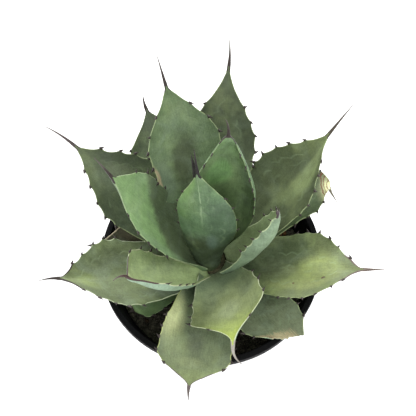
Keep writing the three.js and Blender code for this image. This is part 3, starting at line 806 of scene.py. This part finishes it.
def buildBlade(name, leaf, seed, skin):
    shape = bladeShape
    draw = random.Random(seed * 101 + 7)
    teeth = toothPlaces(leaf, draw)
    rowCount = round(leaf["length"] * leaf["torn"] / shape["rowPitch"])
    places = [leaf["torn"] * i / rowCount for i in range(rowCount + 1)]
    rows = walkBlade(leaf, places)
    steps = shape["sideSteps"]
    reaches = [1 - (1 - k / steps) ** 1.35 for k in range(steps + 1)]  # closer together at the margin
    width = 2 * steps + 1
    ringSize = 2 * width + 2
    vertices = []
    kept = {"leafMap": [], "leafPlace": [], "toothOut": [], "toothLean": [],
            "horn": [], "underside": [], "toothSize": []}

    def keep(point, across, fromTip, q, place, fromMargin, hornShare, below, size=0.0, out=up, lean=up):
        # leafMap is apart above and below, so that the two faces' noises differ
        vertices.append(point)
        leafMap = (across, fromTip, shape["facesApart"] * below)
        row = (leafMap, (q, place, fromMargin), out, lean, hornShare, below, size)
        for values, value in zip(kept.values(), row):
            values.append(value)

    for place, (point, along, side, lift) in zip(places, rows):
        row, half, fromTip, rounding = bladeRow(leaf, place, teeth, seed, reaches)
        hornShare = (1 - smoothstep(fromTip, 0, 3)) if leaf["torn"] == 1 else 0

        def put(flat, q):
            back = tornBack(leaf, place, q, seed)
            return point + side * flat[0] + lift * flat[1] - along * back

        for below, line in ((0.0, row), (1.0, row[::-1])):
            for q, top, low, angle in line:
                stain = toothStain(fromTip, teeth, 1 if q > 0 else -1) if abs(q) == 1 else 0
                stain = max(hornShare, stain * 0.8)
                inward = (1 - abs(q)) * half
                keep(put(low if below else top, q), q * half, fromTip, q, place, inward, stain, below)
            # the rounded edge between the two faces, where the teeth stand
            way = -1 if below else 1
            q, top, low, angle = line[-1]
            outward = side * (way * math.cos(angle)) + lift * math.sin(abs(angle))
            bulge = shape["edgeBulge"] * shape["margin"] * (1 - rounding)
            middle = (put(top, q) + put(low, q)) / 2 + outward * bulge
            near = [size for away, size in teeth[way] if abs(fromTip - away) <= shape["rowPitch"] / 2]
            lean = along * draw.choice((-1, -1, 1))
            stain = max(hornShare, toothStain(fromTip, teeth, way))
            keep(middle, way * half, fromTip, way, place, 0.0, stain, 0.5,
                 near[0] if near else 0.0, outward, lean)

    if leaf["torn"] == 1:
        for point, across, share in spinePoints(leaf, rows[-1], ringSize):
            keep(point, across, -share * leaf["spine"], 0, 1, 9, 1.0, 0.0)

    rings = len(vertices) // ringSize
    made = makeObject(name, vertices, bladeFaces(rings, ringSize, width), [skin])
    for label, values in kept.items():
        kind = "FLOAT_VECTOR" if isinstance(values[0], (tuple, Vector)) else "FLOAT"
        storeValues(made, label, kind, values)
    outwardNormals(made)
    return made


class Grower:
    # a geometry node tree with named inputs
    def __init__(self, name, inputs):
        self.tree = bpy.data.node_groups.new(name, "GeometryNodeTree")
        face = self.tree.interface
        face.new_socket("Geometry", in_out="INPUT", socket_type="NodeSocketGeometry")
        self.ids = {}
        for label, kind in inputs.items():
            socket = face.new_socket(label, in_out="INPUT", socket_type="NodeSocket" + kind)
            self.ids[label] = socket.identifier
        face.new_socket("Geometry", in_out="OUTPUT", socket_type="NodeSocketGeometry")
        self.start = self.tree.nodes.new("NodeGroupInput")

    def given(self, label):
        return self.start.outputs[label]

    def node(self, kind, settings=None, sockets=None, output=0):
        made = self.tree.nodes.new(kind)
        for key, value in (settings or {}).items():
            setattr(made, key, value)
        for key, value in (sockets or {}).items():
            for single in value if isinstance(value, list) else [value]:
                if isinstance(single, bpy.types.NodeSocket):
                    self.tree.links.new(single, made.inputs[key])
                else:
                    made.inputs[key].default_value = single
        return made.outputs[output]

    def math(self, operation, *values):
        return self.node("ShaderNodeMath", {"operation": operation}, dict(enumerate(values)))

    def named(self, label, kind):
        return self.node("GeometryNodeInputNamedAttribute", {"data_type": kind}, {"Name": label})

    def finish(self, instances, material, selection=True):
        # what was copied becomes one mesh, and what is chosen of it is painted
        solid = self.node("GeometryNodeRealizeInstances", {}, {"Geometry": instances})
        painted = self.node("GeometryNodeSetMaterial", {}, {
            "Geometry": solid, "Selection": selection, "Material": self.given(material)})
        self.tree.links.new(painted, self.tree.nodes.new("NodeGroupOutput").inputs[0])

    def grow(self, made, values):
        # the tree as a modifier, its inputs set by their identifiers, baked into the mesh
        modifier = made.modifiers.new(self.tree.name, "NODES")
        modifier.node_group = self.tree
        for label, value in values.items():
            modifier[self.ids[label]] = value
        return bakeModifiers(made)


def toothTree():
    # a hooked horn tooth at each vertex that has a tooth size, leaning towards foot or tip
    g = Grower("marginTeeth", {"Length": "Float", "Width": "Float", "Hook": "Float",
                               "Sink": "Float", "Horn": "Material"})
    t = teethSettings
    cone = g.node("GeometryNodeMeshCone", {"fill_type": "NGON"}, {
        "Vertices": t["sides"], "Side Segments": t["segments"], "Fill Segments": 1,
        "Radius Top": t["point"] * mm, "Radius Bottom": g.given("Width"), "Depth": g.given("Length")})
    place = g.node("GeometryNodeInputPosition")
    height = g.node("ShaderNodeSeparateXYZ", {}, {0: place}, output=2)
    share = g.math("DIVIDE", height, g.given("Length"))
    bent = g.math("MULTIPLY", g.math("MULTIPLY", share, share), g.given("Hook"))
    sunk = g.math("MULTIPLY", g.given("Sink"), -1.0)
    shift = g.node("ShaderNodeCombineXYZ", {}, {0: bent, 2: sunk})
    hooked = g.node("GeometryNodeSetPosition", {}, {"Geometry": cone, "Offset": shift})
    flat = g.node("GeometryNodeTransform", {}, {"Geometry": hooked, "Scale": t["stretch"]})
    smooth = g.node("GeometryNodeSetShadeSmooth", {}, {"Geometry": flat, "Shade Smooth": True})
    tinted = g.node("GeometryNodeSetMaterial", {}, {"Geometry": smooth, "Material": g.given("Horn")})
    faceMark = {"data_type": "BOOLEAN", "domain": "FACE"}
    marked = g.node("GeometryNodeStoreNamedAttribute", faceMark, {
        "Geometry": tinted, "Name": "isTooth", "Value": True})
    size = g.named("toothSize", "FLOAT")
    above = {"data_type": "FLOAT", "operation": "GREATER_THAN"}
    chosen = g.node("FunctionNodeCompare", above, {0: size, 1: 0.01})
    outTurn = g.node("FunctionNodeAlignRotationToVector", {"axis": "Z"}, {
        "Vector": g.named("toothOut", "FLOAT_VECTOR")})
    turn = g.node("FunctionNodeAlignRotationToVector", {"axis": "X", "pivot_axis": "Z"}, {
        "Rotation": outTurn, "Vector": g.named("toothLean", "FLOAT_VECTOR")})
    teeth = g.node("GeometryNodeInstanceOnPoints", {}, {
        "Points": g.given("Geometry"), "Selection": chosen, "Instance": marked,
        "Rotation": turn, "Scale": size})
    joined = g.node("GeometryNodeJoinGeometry", {}, {"Geometry": [teeth, g.given("Geometry")]})
    g.finish(joined, "Horn", g.named("isTooth", "BOOLEAN"))
    return g


horn = hornFinish()
teethGrower = toothTree()
leafSlots = {item["node"]: item["material_slot"] for item in frame["record"]["subparts"]}
for seed, (name, size) in enumerate(leafSizes.items(), 1):
    leaf = {**bladeDefaults, **size}
    piece = buildBlade(name + "_skin", leaf, seed, leafSkin(name + "Skin", leafLooks[name], seed))
    teethGrower.grow(piece, {
        "Length": teethSettings["length"] * mm, "Width": teethSettings["width"] * mm,
        "Hook": teethSettings["hook"] * mm, "Sink": teethSettings["sink"] * mm, "Horn": horn})
    handOver(piece, leafSlots[name], name)
print("leaves made:", len(leafSizes))

budShape = {
    # share of the length and share of the radius there
    "profile": [(0, 0.7), (0.3, 1.0), (0.6, 0.85), (0.88, 0.5), (1.0, 0.3)],
    "length": 107, "radius": 4.2, "spine": 12, "spineEnd": 0.2,
    "turn": 117, "rise": 76, "back": 3, "base": 116, "girth": 26,
    # the free edge: how far it stands off, and how much of a turn it winds on its way up
    "overlap": 0.16, "winding": 0.25, "sides": 40, "rows": 60, "seed": 31,
}
budLook = dict(foot=(0.12, 0.17, 0.08), main=(0.11, 0.18, 0.085), tip=(0.10, 0.17, 0.08),
               imprint=0.0, spine=(0.010, 0.008, 0.008), wear=0.15, hornReach=0.1)


def budRadius(share):
    b = budShape
    if share >= 1:
        top = b["profile"][-1][1] * b["radius"]
        return mix(top, b["spineEnd"], (share - 1) * b["length"] / b["spine"])
    for (before, small), (after, large) in zip(b["profile"], b["profile"][1:]):
        if before <= share <= after:
            return b["radius"] * mix(small, large, smoothstep(share, before, after))


def buildBud():
    # the furled leaf at the heart: a rolled blade whose free edge winds up it
    b = budShape
    along = heading(b["rise"], b["turn"])
    side = heading(0, b["turn"] + 90)
    lift = along.cross(side)
    foot = Vector((0, b["back"], b["base"]))
    vertices, faces, places = [], [], []
    for i in range(b["rows"] + 1):
        walked = (b["length"] + b["spine"]) * i / b["rows"]
        share = walked / b["length"]
        radius = budRadius(share)
        for k in range(b["sides"]):
            wrap = k / b["sides"]
            angle = 2 * math.pi * (wrap + b["winding"] * share)
            own = radius * (1 - b["overlap"] * (1 - wrap) * (1 if share < 1 else 0))
            out = side * math.cos(angle) + lift * math.sin(angle)
            vertices.append(foot + along * walked + out * own)
            places.append((wrap, share, min(wrap, 1 - wrap) * 2 * math.pi * radius))
    count = b["sides"]
    for i in range(b["rows"]):
        for k in range(count):
            a, c = i * count + k, i * count + (k + 1) % count
            faces.append((a, c, c + count, a + count))
    faces.append(tuple(range(count)))
    faces.append(tuple(range(b["rows"] * count, (b["rows"] + 1) * count)))
    made = makeObject("bud_furled", vertices, faces, [leafSkin("budSkin", budLook, b["seed"])])
    leafMap = [(w * b["girth"], (1 - s) * b["length"], 0) for w, s, _ in places]
    storeValues(made, "leafMap", "FLOAT_VECTOR", leafMap)
    storeValues(made, "leafPlace", "FLOAT_VECTOR", [(0.3, min(s, 1), m) for _, s, m in places])
    storeValues(made, "horn", "FLOAT", [smoothstep(s, 0.86, 0.92) for _, s, _ in places])
    storeValues(made, "underside", "FLOAT", [0.0 for _ in places])
    outwardNormals(made)
    return made


handOver(buildBud(), "inner_leaf", "bud")
print("furled leaf made")


def turnProfile(name, profile, sides, materials, wobble):
    # profile runs from the axis to the axis; wobble(radius, height, angle) moves a point
    vertices, faces, rings = [], [], []
    for radius, height in profile:
        ring = []
        for k in range(sides if radius else 1):
            angle = 2 * math.pi * k / sides
            own, rise = wobble(radius, height, angle)
            ring.append(len(vertices))
            vertices.append(Vector((own * math.cos(angle), own * math.sin(angle), rise)))
        rings.append(ring)
    for low, high in zip(rings, rings[1:]):
        for k in range(sides):
            n = (k + 1) % sides
            if len(low) == 1:
                faces.append((low[0], high[k], high[n]))
            elif len(high) == 1:
                faces.append((low[k], low[n], high[0]))
            else:
                faces.append((low[k], low[n], high[n], high[k]))
    made = makeObject(name, vertices, faces, materials)
    outwardNormals(made)
    return made


def roundCorner(before, corner, after, radius, steps=4):
    # points of a small arc in place of a profile's corner
    a, c, b = Vector(before), Vector(corner), Vector(after)
    start, end = c + (a - c).normalized() * radius, c + (b - c).normalized() * radius
    shares = [i / steps for i in range(steps + 1)]
    return [tuple(start.lerp(c, t).lerp(c.lerp(end, t), t)) for t in shares]


stemShape = {
    "radius": 12, "foot": 73.3, "top": 115, "sides": 48,
    "scarPitch": 3.4, "scarDepth": 0.7, "scarInset": 0.5, "lumps": 0.6,
    "dark": (0.035, 0.030, 0.014), "pale": (0.10, 0.10, 0.045),
}


def stemFinish():
    finish = Finish("stemTissue")
    rings = finish.noise(finish.scaled(finish.objectPlace(), (300, 300, 1400)), 1.0, 4.0, 0.6)
    color = finish.blend(finish.ease(rings, 0.3, 0.7), stemShape["dark"], stemShape["pale"])
    return finish.close(Base_Color=color, Roughness=0.8, Normal=finish.bump(rings, 0.001, 0.7))


def buildStem():
    # ringed with the scars of fallen leaves
    s = stemShape
    profile = [(0, s["foot"]), (s["radius"] - 1, s["foot"])]
    height = s["foot"] + 1
    while height < s["top"] - 6:
        profile.append((s["radius"], height))
        height += s["scarPitch"] / 4
    profile += [(s["radius"] - 2, s["top"] - 4), (s["radius"] - 5, s["top"] - 1), (0, s["top"])]

    def wobble(radius, height, angle):
        if not radius or height <= s["foot"] + 0.5:
            return radius, height
        scar = s["scarDepth"] * abs(math.sin(math.pi * height / s["scarPitch"] + 2 * angle))
        around = Vector((3 * math.cos(angle), 3 * math.sin(angle), height / 4))
        return radius + (scar - s["scarInset"]) + s["lumps"] * noise.noise(around), height

    return turnProfile("stem_scarred", profile, s["sides"], [stemFinish()], wobble)


handOver(buildStem(), "stem_tissue", "stem")
print("stem made")

potShape = {
    "height": 115, "rim": 82.5, "skirt": 7, "wallTop": 79.4, "shoulder": 84, "step": 1.2,
    "base": 55, "wall": 1.4, "floor": 3, "hollow": 1.6, "sides": 180,
    "drains": 8, "drainWidth": 13, "drainHeight": 8, "drainDepth": 12, "drainRound": 1.2,
    # how thin walls sag: depth, waves round the pot and where they start; then lumps
    "sag": ((0.35, 2, 0.6), (0.18, 5, 2)), "lumps": 0.16, "sagFoot": 20,
    "black": (0.0050, 0.0050, 0.0054), "dust": (0.009, 0.0085, 0.007), "scuff": (0.030, 0.030, 0.030),
}


def potFinish():
    finish = Finish("blackPotPlastic")
    place = finish.objectPlace()
    x, y, z = finish.parts(place)
    pebble = finish.noise(place, 1500.0, 2.0)
    cloud = finish.noise(place, 28.0, 4.0, 0.6)
    # thin scuffs that run round the wall
    around = finish.node("Math", {"operation": "ARCTAN2"}, {0: y, 1: x})
    streak = finish.noise(finish.vector(around * 6.0, z * 900.0, 0.0), 1.0, 3.0, 0.6)
    scuff = finish.ease(streak, 0.62, 0.74) * finish.ease(cloud, 0.45, 0.65)
    # dust, thicker towards the foot
    dust = finish.ease(cloud, 0.5, 0.75) * finish.ease(z, 0.02, 0.115, 0.8, 0.25)
    color = finish.blend(dust, potShape["black"], potShape["dust"])
    color = finish.blend(scuff * 0.5, color, potShape["scuff"])
    rough = finish.ease(cloud, 0.3, 0.7, 0.50, 0.64) + scuff * 0.2
    relief = pebble * 0.5 + cloud * 0.6 - scuff * 0.5
    return finish.close(Base_Color=color, Roughness=rough, Specular_IOR_Level=0.05,
                        Normal=finish.bump(relief, 0.0004, 0.35))


def wallRadius(height):
    p = potShape
    slope = (p["wallTop"] - p["step"] - p["base"]) / p["height"]
    return p["base"] + slope * height + (0 if height < p["shoulder"] else p["step"])


def potProfile():
    # from the middle of the underside, up the outside, over the rim and down inside; each corner
    # has its radius, its height and how much it is rounded
    p = potShape
    top, wall, base, shoulder = p["height"], p["wall"], p["base"], p["shoulder"]
    skirtFoot, inner = top - p["skirt"], p["rim"] - wall
    below, above = shoulder - 0.01, shoulder + p["step"]
    corners = [
        (0, p["hollow"], 0), (base - 7, p["hollow"], 0), (base - 5, 0, 0.5), (base, 0, 1.2),
        (wallRadius(below), below, 0.8), (wallRadius(shoulder), above, 0.8),
        (wallRadius(top), top - wall, 0), (inner, top - wall, 0),
        (inner, skirtFoot, 0.45), (p["rim"], skirtFoot, 0.45), (p["rim"], top, 0.68),
        (wallRadius(top) - wall, top, 0.9), (wallRadius(shoulder) - wall, above, 0),
        (wallRadius(below) - wall, below, 0), (base - wall, p["floor"], 0),
        (base - 6, p["floor"], 0), (0, p["floor"], 0),
    ]
    profile = []
    for i, (*corner, rounding) in enumerate(corners):
        if rounding:
            profile += roundCorner(corners[i - 1][:2], corner, corners[i + 1][:2], rounding)
        else:
            profile.append(corner)
    # more rings on the long walls, so that their waviness shows
    full = [profile[0]]
    for before, after in zip(profile, profile[1:]):
        count = max(1, round(abs(after[1] - before[1]) / 6))
        for i in range(1, count + 1):
            full.append([mix(a, b, i / count) for a, b in zip(before, after)])
    return full


def drainCutter():
    # a ring of rounded blocks round the foot of the wall
    p = potShape
    blocks = bmesh.new()
    for i in range(p["drains"]):
        turn = 360 * (i + 0.5) / p["drains"]
        outward, across = heading(0, turn), heading(0, turn + 90)
        for v in bmesh.ops.create_cube(blocks, size=1.0)["verts"]:
            out = v.co.x * p["drainDepth"] + p["base"]
            rise = (v.co.z + 0.5) * p["drainHeight"] - 1
            v.co = (outward * out + across * (v.co.y * p["drainWidth"]) + up * rise) * mm
    bmesh.ops.bevel(blocks, geom=blocks.edges[:], offset=p["drainRound"] * mm, segments=2,
                    affect="EDGES", profile=0.5)
    holes = bpy.data.meshes.new("drainHoles")
    blocks.to_mesh(holes)
    blocks.free()
    cutter = bpy.data.objects.new("drainHoles", holes)
    scene.collection.objects.link(cutter)
    return cutter


def buildPot(plastic):
    p = potShape

    def wobble(radius, height, angle):
        if not radius:
            return 0, height
        out = sum(depth * math.sin(waves * angle + start) for depth, waves, start in p["sag"])
        around = Vector((2.4 * math.cos(angle), 2.4 * math.sin(angle), height / 30))
        out += p["lumps"] * noise.noise(around)
        return radius + out * smoothstep(height, p["sagFoot"], p["height"]), height

    made = turnProfile("pot_wall", potProfile(), p["sides"], [plastic], wobble)
    cutter = drainCutter()
    cut = made.modifiers.new("drains", "BOOLEAN")
    cut.operation = "DIFFERENCE"
    cut.object = cutter
    cut.solver = "EXACT"
    bakeModifiers(made)
    bpy.data.objects.remove(cutter)
    return made


handOver(buildPot(potFinish()), "pot_plastic", "pot")
print("pot made")

soilShape = {
    "top": 89, "relief": 1.6, "bottom": 3.6, "gap": 0.35, "sides": 120, "rings": 44,
    "dark": (0.026, 0.024, 0.017), "pale": (0.110, 0.102, 0.072), "grain": 260.0,
}


def soilFinish(name, dark, pale, scale):
    finish = Finish(name)
    place = finish.objectPlace()
    coarse = finish.noise(place, scale, 5.0, 0.65)
    grain = finish.noise(place, scale * 6, 3.0, 0.6)
    color = finish.blend(finish.ease(coarse, 0.35, 0.75), dark, pale)
    color = finish.blend(finish.ease(grain, 0.6, 0.75) * 0.3, color, pale)
    return finish.close(Base_Color=color, Roughness=0.9, Specular_IOR_Level=0.2,
                        Normal=finish.bump(grain + coarse, 0.0012, 0.8))


def soilHeight(x, y):
    # low mounds with lumps on them
    mound = math.sin(x / 9 + 1) * math.cos(y / 11) + 0.4 * math.sin((x + 2 * y) / 6)
    lumps = 1.1 * noise.noise(Vector((x / 5, y / 5, 3))) + 0.6 * noise.noise(Vector((x / 2, y / 2, 8)))
    return soilShape["top"] + soilShape["relief"] * mound / 1.4 + lumps


def buildSoil():
    s = soilShape
    below = potShape["shoulder"] - 1
    edge, shoulder = [wallRadius(h) - potShape["wall"] - s["gap"] for h in (s["top"], below)]
    foot = potShape["base"] - potShape["wall"] - 1.2
    profile = [(0, s["bottom"]), (foot, s["bottom"]), (shoulder, below)]
    profile += [(edge * (1 - i / s["rings"]), s["top"]) for i in range(s["rings"])] + [(0, s["top"])]

    def wobble(radius, height, angle):
        if height > s["top"] - 0.5:
            height = soilHeight(radius * math.cos(angle), radius * math.sin(angle))
        return radius, height

    bed = soilFinish("soilBed", s["dark"], s["pale"], s["grain"])
    return turnProfile("soil_bed", profile, s["sides"], [bed], wobble)


handOver(buildSoil(), "potting_mix", "soil")
print("soil made")

strewn = {
    # grains per square metre; small and large are radii; flat is how far a grain may tilt; lift is
    # how high it lies; sector is where they lie, in degrees round the pot
    "soil_crumbs": dict(
        density=260000, small=0.35, large=1.15, stretch=(1.0, 0.85, 0.8), roughen=1.1, flat=1.0,
        lift=0.1, seed=3, dark=(0.020, 0.019, 0.013), pale=(0.140, 0.130, 0.090)),
    "bark_chips": dict(
        density=5000, small=0.8, large=2.1, stretch=(1.5, 0.8, 0.35), roughen=0.9, flat=0.12,
        lift=0.7, seed=8, dark=(0.022, 0.013, 0.007), pale=(0.075, 0.045, 0.020)),
    "orange_bark": dict(
        density=42000, small=0.9, large=2.2, stretch=(1.6, 0.7, 0.35), roughen=0.9, flat=0.15,
        lift=0.9, seed=5, dark=(0.10, 0.045, 0.015), pale=(0.27, 0.15, 0.06), sector=(8, 34)),
    "pale_grit": dict(
        density=3500, small=0.3, large=0.7, stretch=(1.0, 0.9, 0.8), roughen=0.8, flat=1.0,
        lift=0.5, seed=12, dark=(0.06, 0.055, 0.04), pale=(0.18, 0.17, 0.12)),
    "wood_bits": dict(
        density=16000, small=0.9, large=2.6, stretch=(1.6, 0.13, 0.12), roughen=0.5, flat=0.10,
        lift=0.8, seed=21, dark=(0.022, 0.017, 0.009), pale=(0.095, 0.080, 0.045)),
}
strewField = {"rings": 30, "sides": 96, "clearOfWall": 2.0, "clearOfStem": 1, "grain": 320.0}


def strewSurface(sector):
    # a part of the soil's top to strew grains on, used and then thrown away
    f = strewField
    inner = stemShape["radius"] + f["clearOfStem"]
    outer = wallRadius(soilShape["top"]) - potShape["wall"] - f["clearOfWall"]
    vertices, faces = [], []
    for i in range(f["rings"] + 1):
        radius = mix(inner, outer, i / f["rings"])
        for k in range(f["sides"] + 1):
            angle = math.radians(mix(*sector, k / f["sides"]))
            x, y = radius * math.cos(angle), radius * math.sin(angle)
            vertices.append((x, y, soilHeight(x, y)))
    for i in range(f["rings"]):
        for k in range(f["sides"]):
            a = i * (f["sides"] + 1) + k
            faces.append((a, a + 1, a + f["sides"] + 2, a + f["sides"] + 1))
    return vertices, faces


def scatterTree():
    # grains, chips and bits strewn over a surface
    g = Grower("strewn", {
        "Density": "Float", "Smallest": "Float", "Largest": "Float", "Stretch": "Vector",
        "Roughen": "Float", "Lie flat": "Float", "Lift": "Float", "Seed": "Int", "Grain": "Material"})
    places = g.node("GeometryNodeDistributePointsOnFaces", {}, {
        "Mesh": g.given("Geometry"), "Density": g.given("Density"), "Seed": g.given("Seed")})
    lift = g.node("ShaderNodeCombineXYZ", {}, {2: g.given("Lift")})
    raised = g.node("GeometryNodeSetPosition", {}, {"Geometry": places, "Offset": lift})
    ball = g.node("GeometryNodeMeshIcoSphere", {}, {"Radius": 1.0, "Subdivisions": 1})
    place = g.node("GeometryNodeInputPosition")
    wobble = g.node("ShaderNodeTexNoise", {}, {"Vector": place, "Scale": 0.9}, output=1)
    centred = g.node("ShaderNodeVectorMath", {"operation": "SUBTRACT"}, {
        0: wobble, 1: (0.5, 0.5, 0.5)})
    pushed = g.node("ShaderNodeVectorMath", {"operation": "SCALE"}, {
        0: centred, "Scale": g.given("Roughen")})
    lump = g.node("GeometryNodeSetPosition", {}, {"Geometry": ball, "Offset": pushed})
    grain = g.node("GeometryNodeTransform", {}, {"Geometry": lump, "Scale": g.given("Stretch")})
    anyTurn = g.node("FunctionNodeRandomValue", {"data_type": "FLOAT_VECTOR"}, {
        "Min": (-math.pi,) * 3, "Max": (math.pi,) * 3, "Seed": g.given("Seed")})
    flat = g.given("Lie flat")
    squash = g.node("ShaderNodeCombineXYZ", {}, {0: flat, 1: flat, 2: 1.0})
    turn = g.node("ShaderNodeVectorMath", {"operation": "MULTIPLY"}, {0: anyTurn, 1: squash})
    size = g.node("FunctionNodeRandomValue", {"data_type": "FLOAT"}, {
        2: g.given("Smallest"), 3: g.given("Largest"), "Seed": g.given("Seed")}, output=1)
    grains = g.node("GeometryNodeInstanceOnPoints", {}, {
        "Points": raised, "Instance": grain, "Rotation": turn, "Scale": size})
    g.finish(grains, "Grain")
    return g


strewer = scatterTree()
for name, kind in strewn.items():
    piece = makeObject(name, *strewSurface(kind.get("sector", (0, 360))))
    strewer.grow(piece, {
        "Density": kind["density"], "Smallest": kind["small"] * mm, "Largest": kind["large"] * mm,
        "Stretch": kind["stretch"], "Roughen": kind["roughen"], "Lie flat": kind["flat"],
        "Lift": kind["lift"] * mm, "Seed": kind["seed"],
        "Grain": soilFinish(name + "Finish", kind["dark"], kind["pale"], strewField["grain"])})
    handOver(piece, "potting_mix")
    print(name, len(piece.data.polygons), "faces")

floorSettings = {"size": 4000, "tone": (0.90, 0.90, 0.90), "pale": (0.93, 0.93, 0.93), "glow": 0.35}


def buildFloor():
    f = floorSettings
    finish = Finish("paleFloor")
    cloud = finish.noise(finish.objectPlace(), 3.0, 2.0)
    color = finish.blend(cloud, f["tone"], f["pale"])
    white = finish.close(Base_Color=color, Roughness=0.9, Emission_Color=(1.0, 1.0, 1.0),
                         Emission_Strength=f["glow"])
    corners = [(x * f["size"], y * f["size"], 0) for x, y in ((-1, -1), (1, -1), (1, 1), (-1, 1))]
    return makeObject("floor", corners, [(0, 1, 2, 3)], [white])


buildFloor()

lightSettings = {
    # where it stands and its edge length in metres, and watts
    "backLow": dict(place=(0.0, 1.8, 0.5), size=0.7, power=26, color=(1.0, 1.0, 1.0)),
    "backLeft": dict(place=(-1.1, 1.0, 1.3), size=0.5, power=22, color=(1.0, 1.0, 0.98)),
    "right": dict(place=(1.3, -0.1, 1.3), size=0.6, power=9, color=(1.0, 1.0, 1.0)),
    "front": dict(place=(0.1, -1.3, 1.3), size=0.8, power=8, color=(0.98, 1.0, 1.0)),
}
studio = {"lightAim": (0, 0, 0.12), "skyStrength": 1.0, "skyColor": (1.0, 1.0, 1.0, 1.0)}
for name, light in lightSettings.items():
    lamp = bpy.data.lights.new(name, "AREA")
    lamp.shape = "SQUARE"
    lamp.size = light["size"]
    lamp.energy = light["power"]
    lamp.color = light["color"]
    lampObject = bpy.data.objects.new(name, lamp)
    lampObject.location = light["place"]
    aim = Vector(studio["lightAim"]) - Vector(light["place"])
    lampObject.rotation_euler = aim.to_track_quat("-Z", "Y").to_euler()
    scene.collection.objects.link(lampObject)

world = bpy.data.worlds.new("studio")
world.use_nodes = True
sky = world.node_tree.nodes["Background"].inputs
sky["Color"].default_value = studio["skyColor"]
sky["Strength"].default_value = studio["skyStrength"]
scene.world = world
scene.view_settings.view_transform = "Standard"

cameraView = {
    # degrees above level, metres, and millimetres of lens and sensor
    "elevation": 67.5, "distance": 0.8, "target": (-0.0022, 0.0395, 0.115),
    "lens": 90.5, "sensor": 36.0, "farthest": 20.0,
}
lens = bpy.data.cameras.new("camera")
lens.lens = cameraView["lens"]
lens.sensor_width = cameraView["sensor"]
lens.clip_end = cameraView["farthest"]
camera = bpy.data.objects.new("camera", lens)
tilt = math.radians(cameraView["elevation"])
back = Vector((0, -math.cos(tilt), math.sin(tilt)))
camera.location = Vector(cameraView["target"]) + back * cameraView["distance"]
camera.rotation_euler = (math.radians(90) - tilt, 0, 0)
scene.collection.objects.link(camera)
scene.camera = camera
print("floor, lights and camera set")
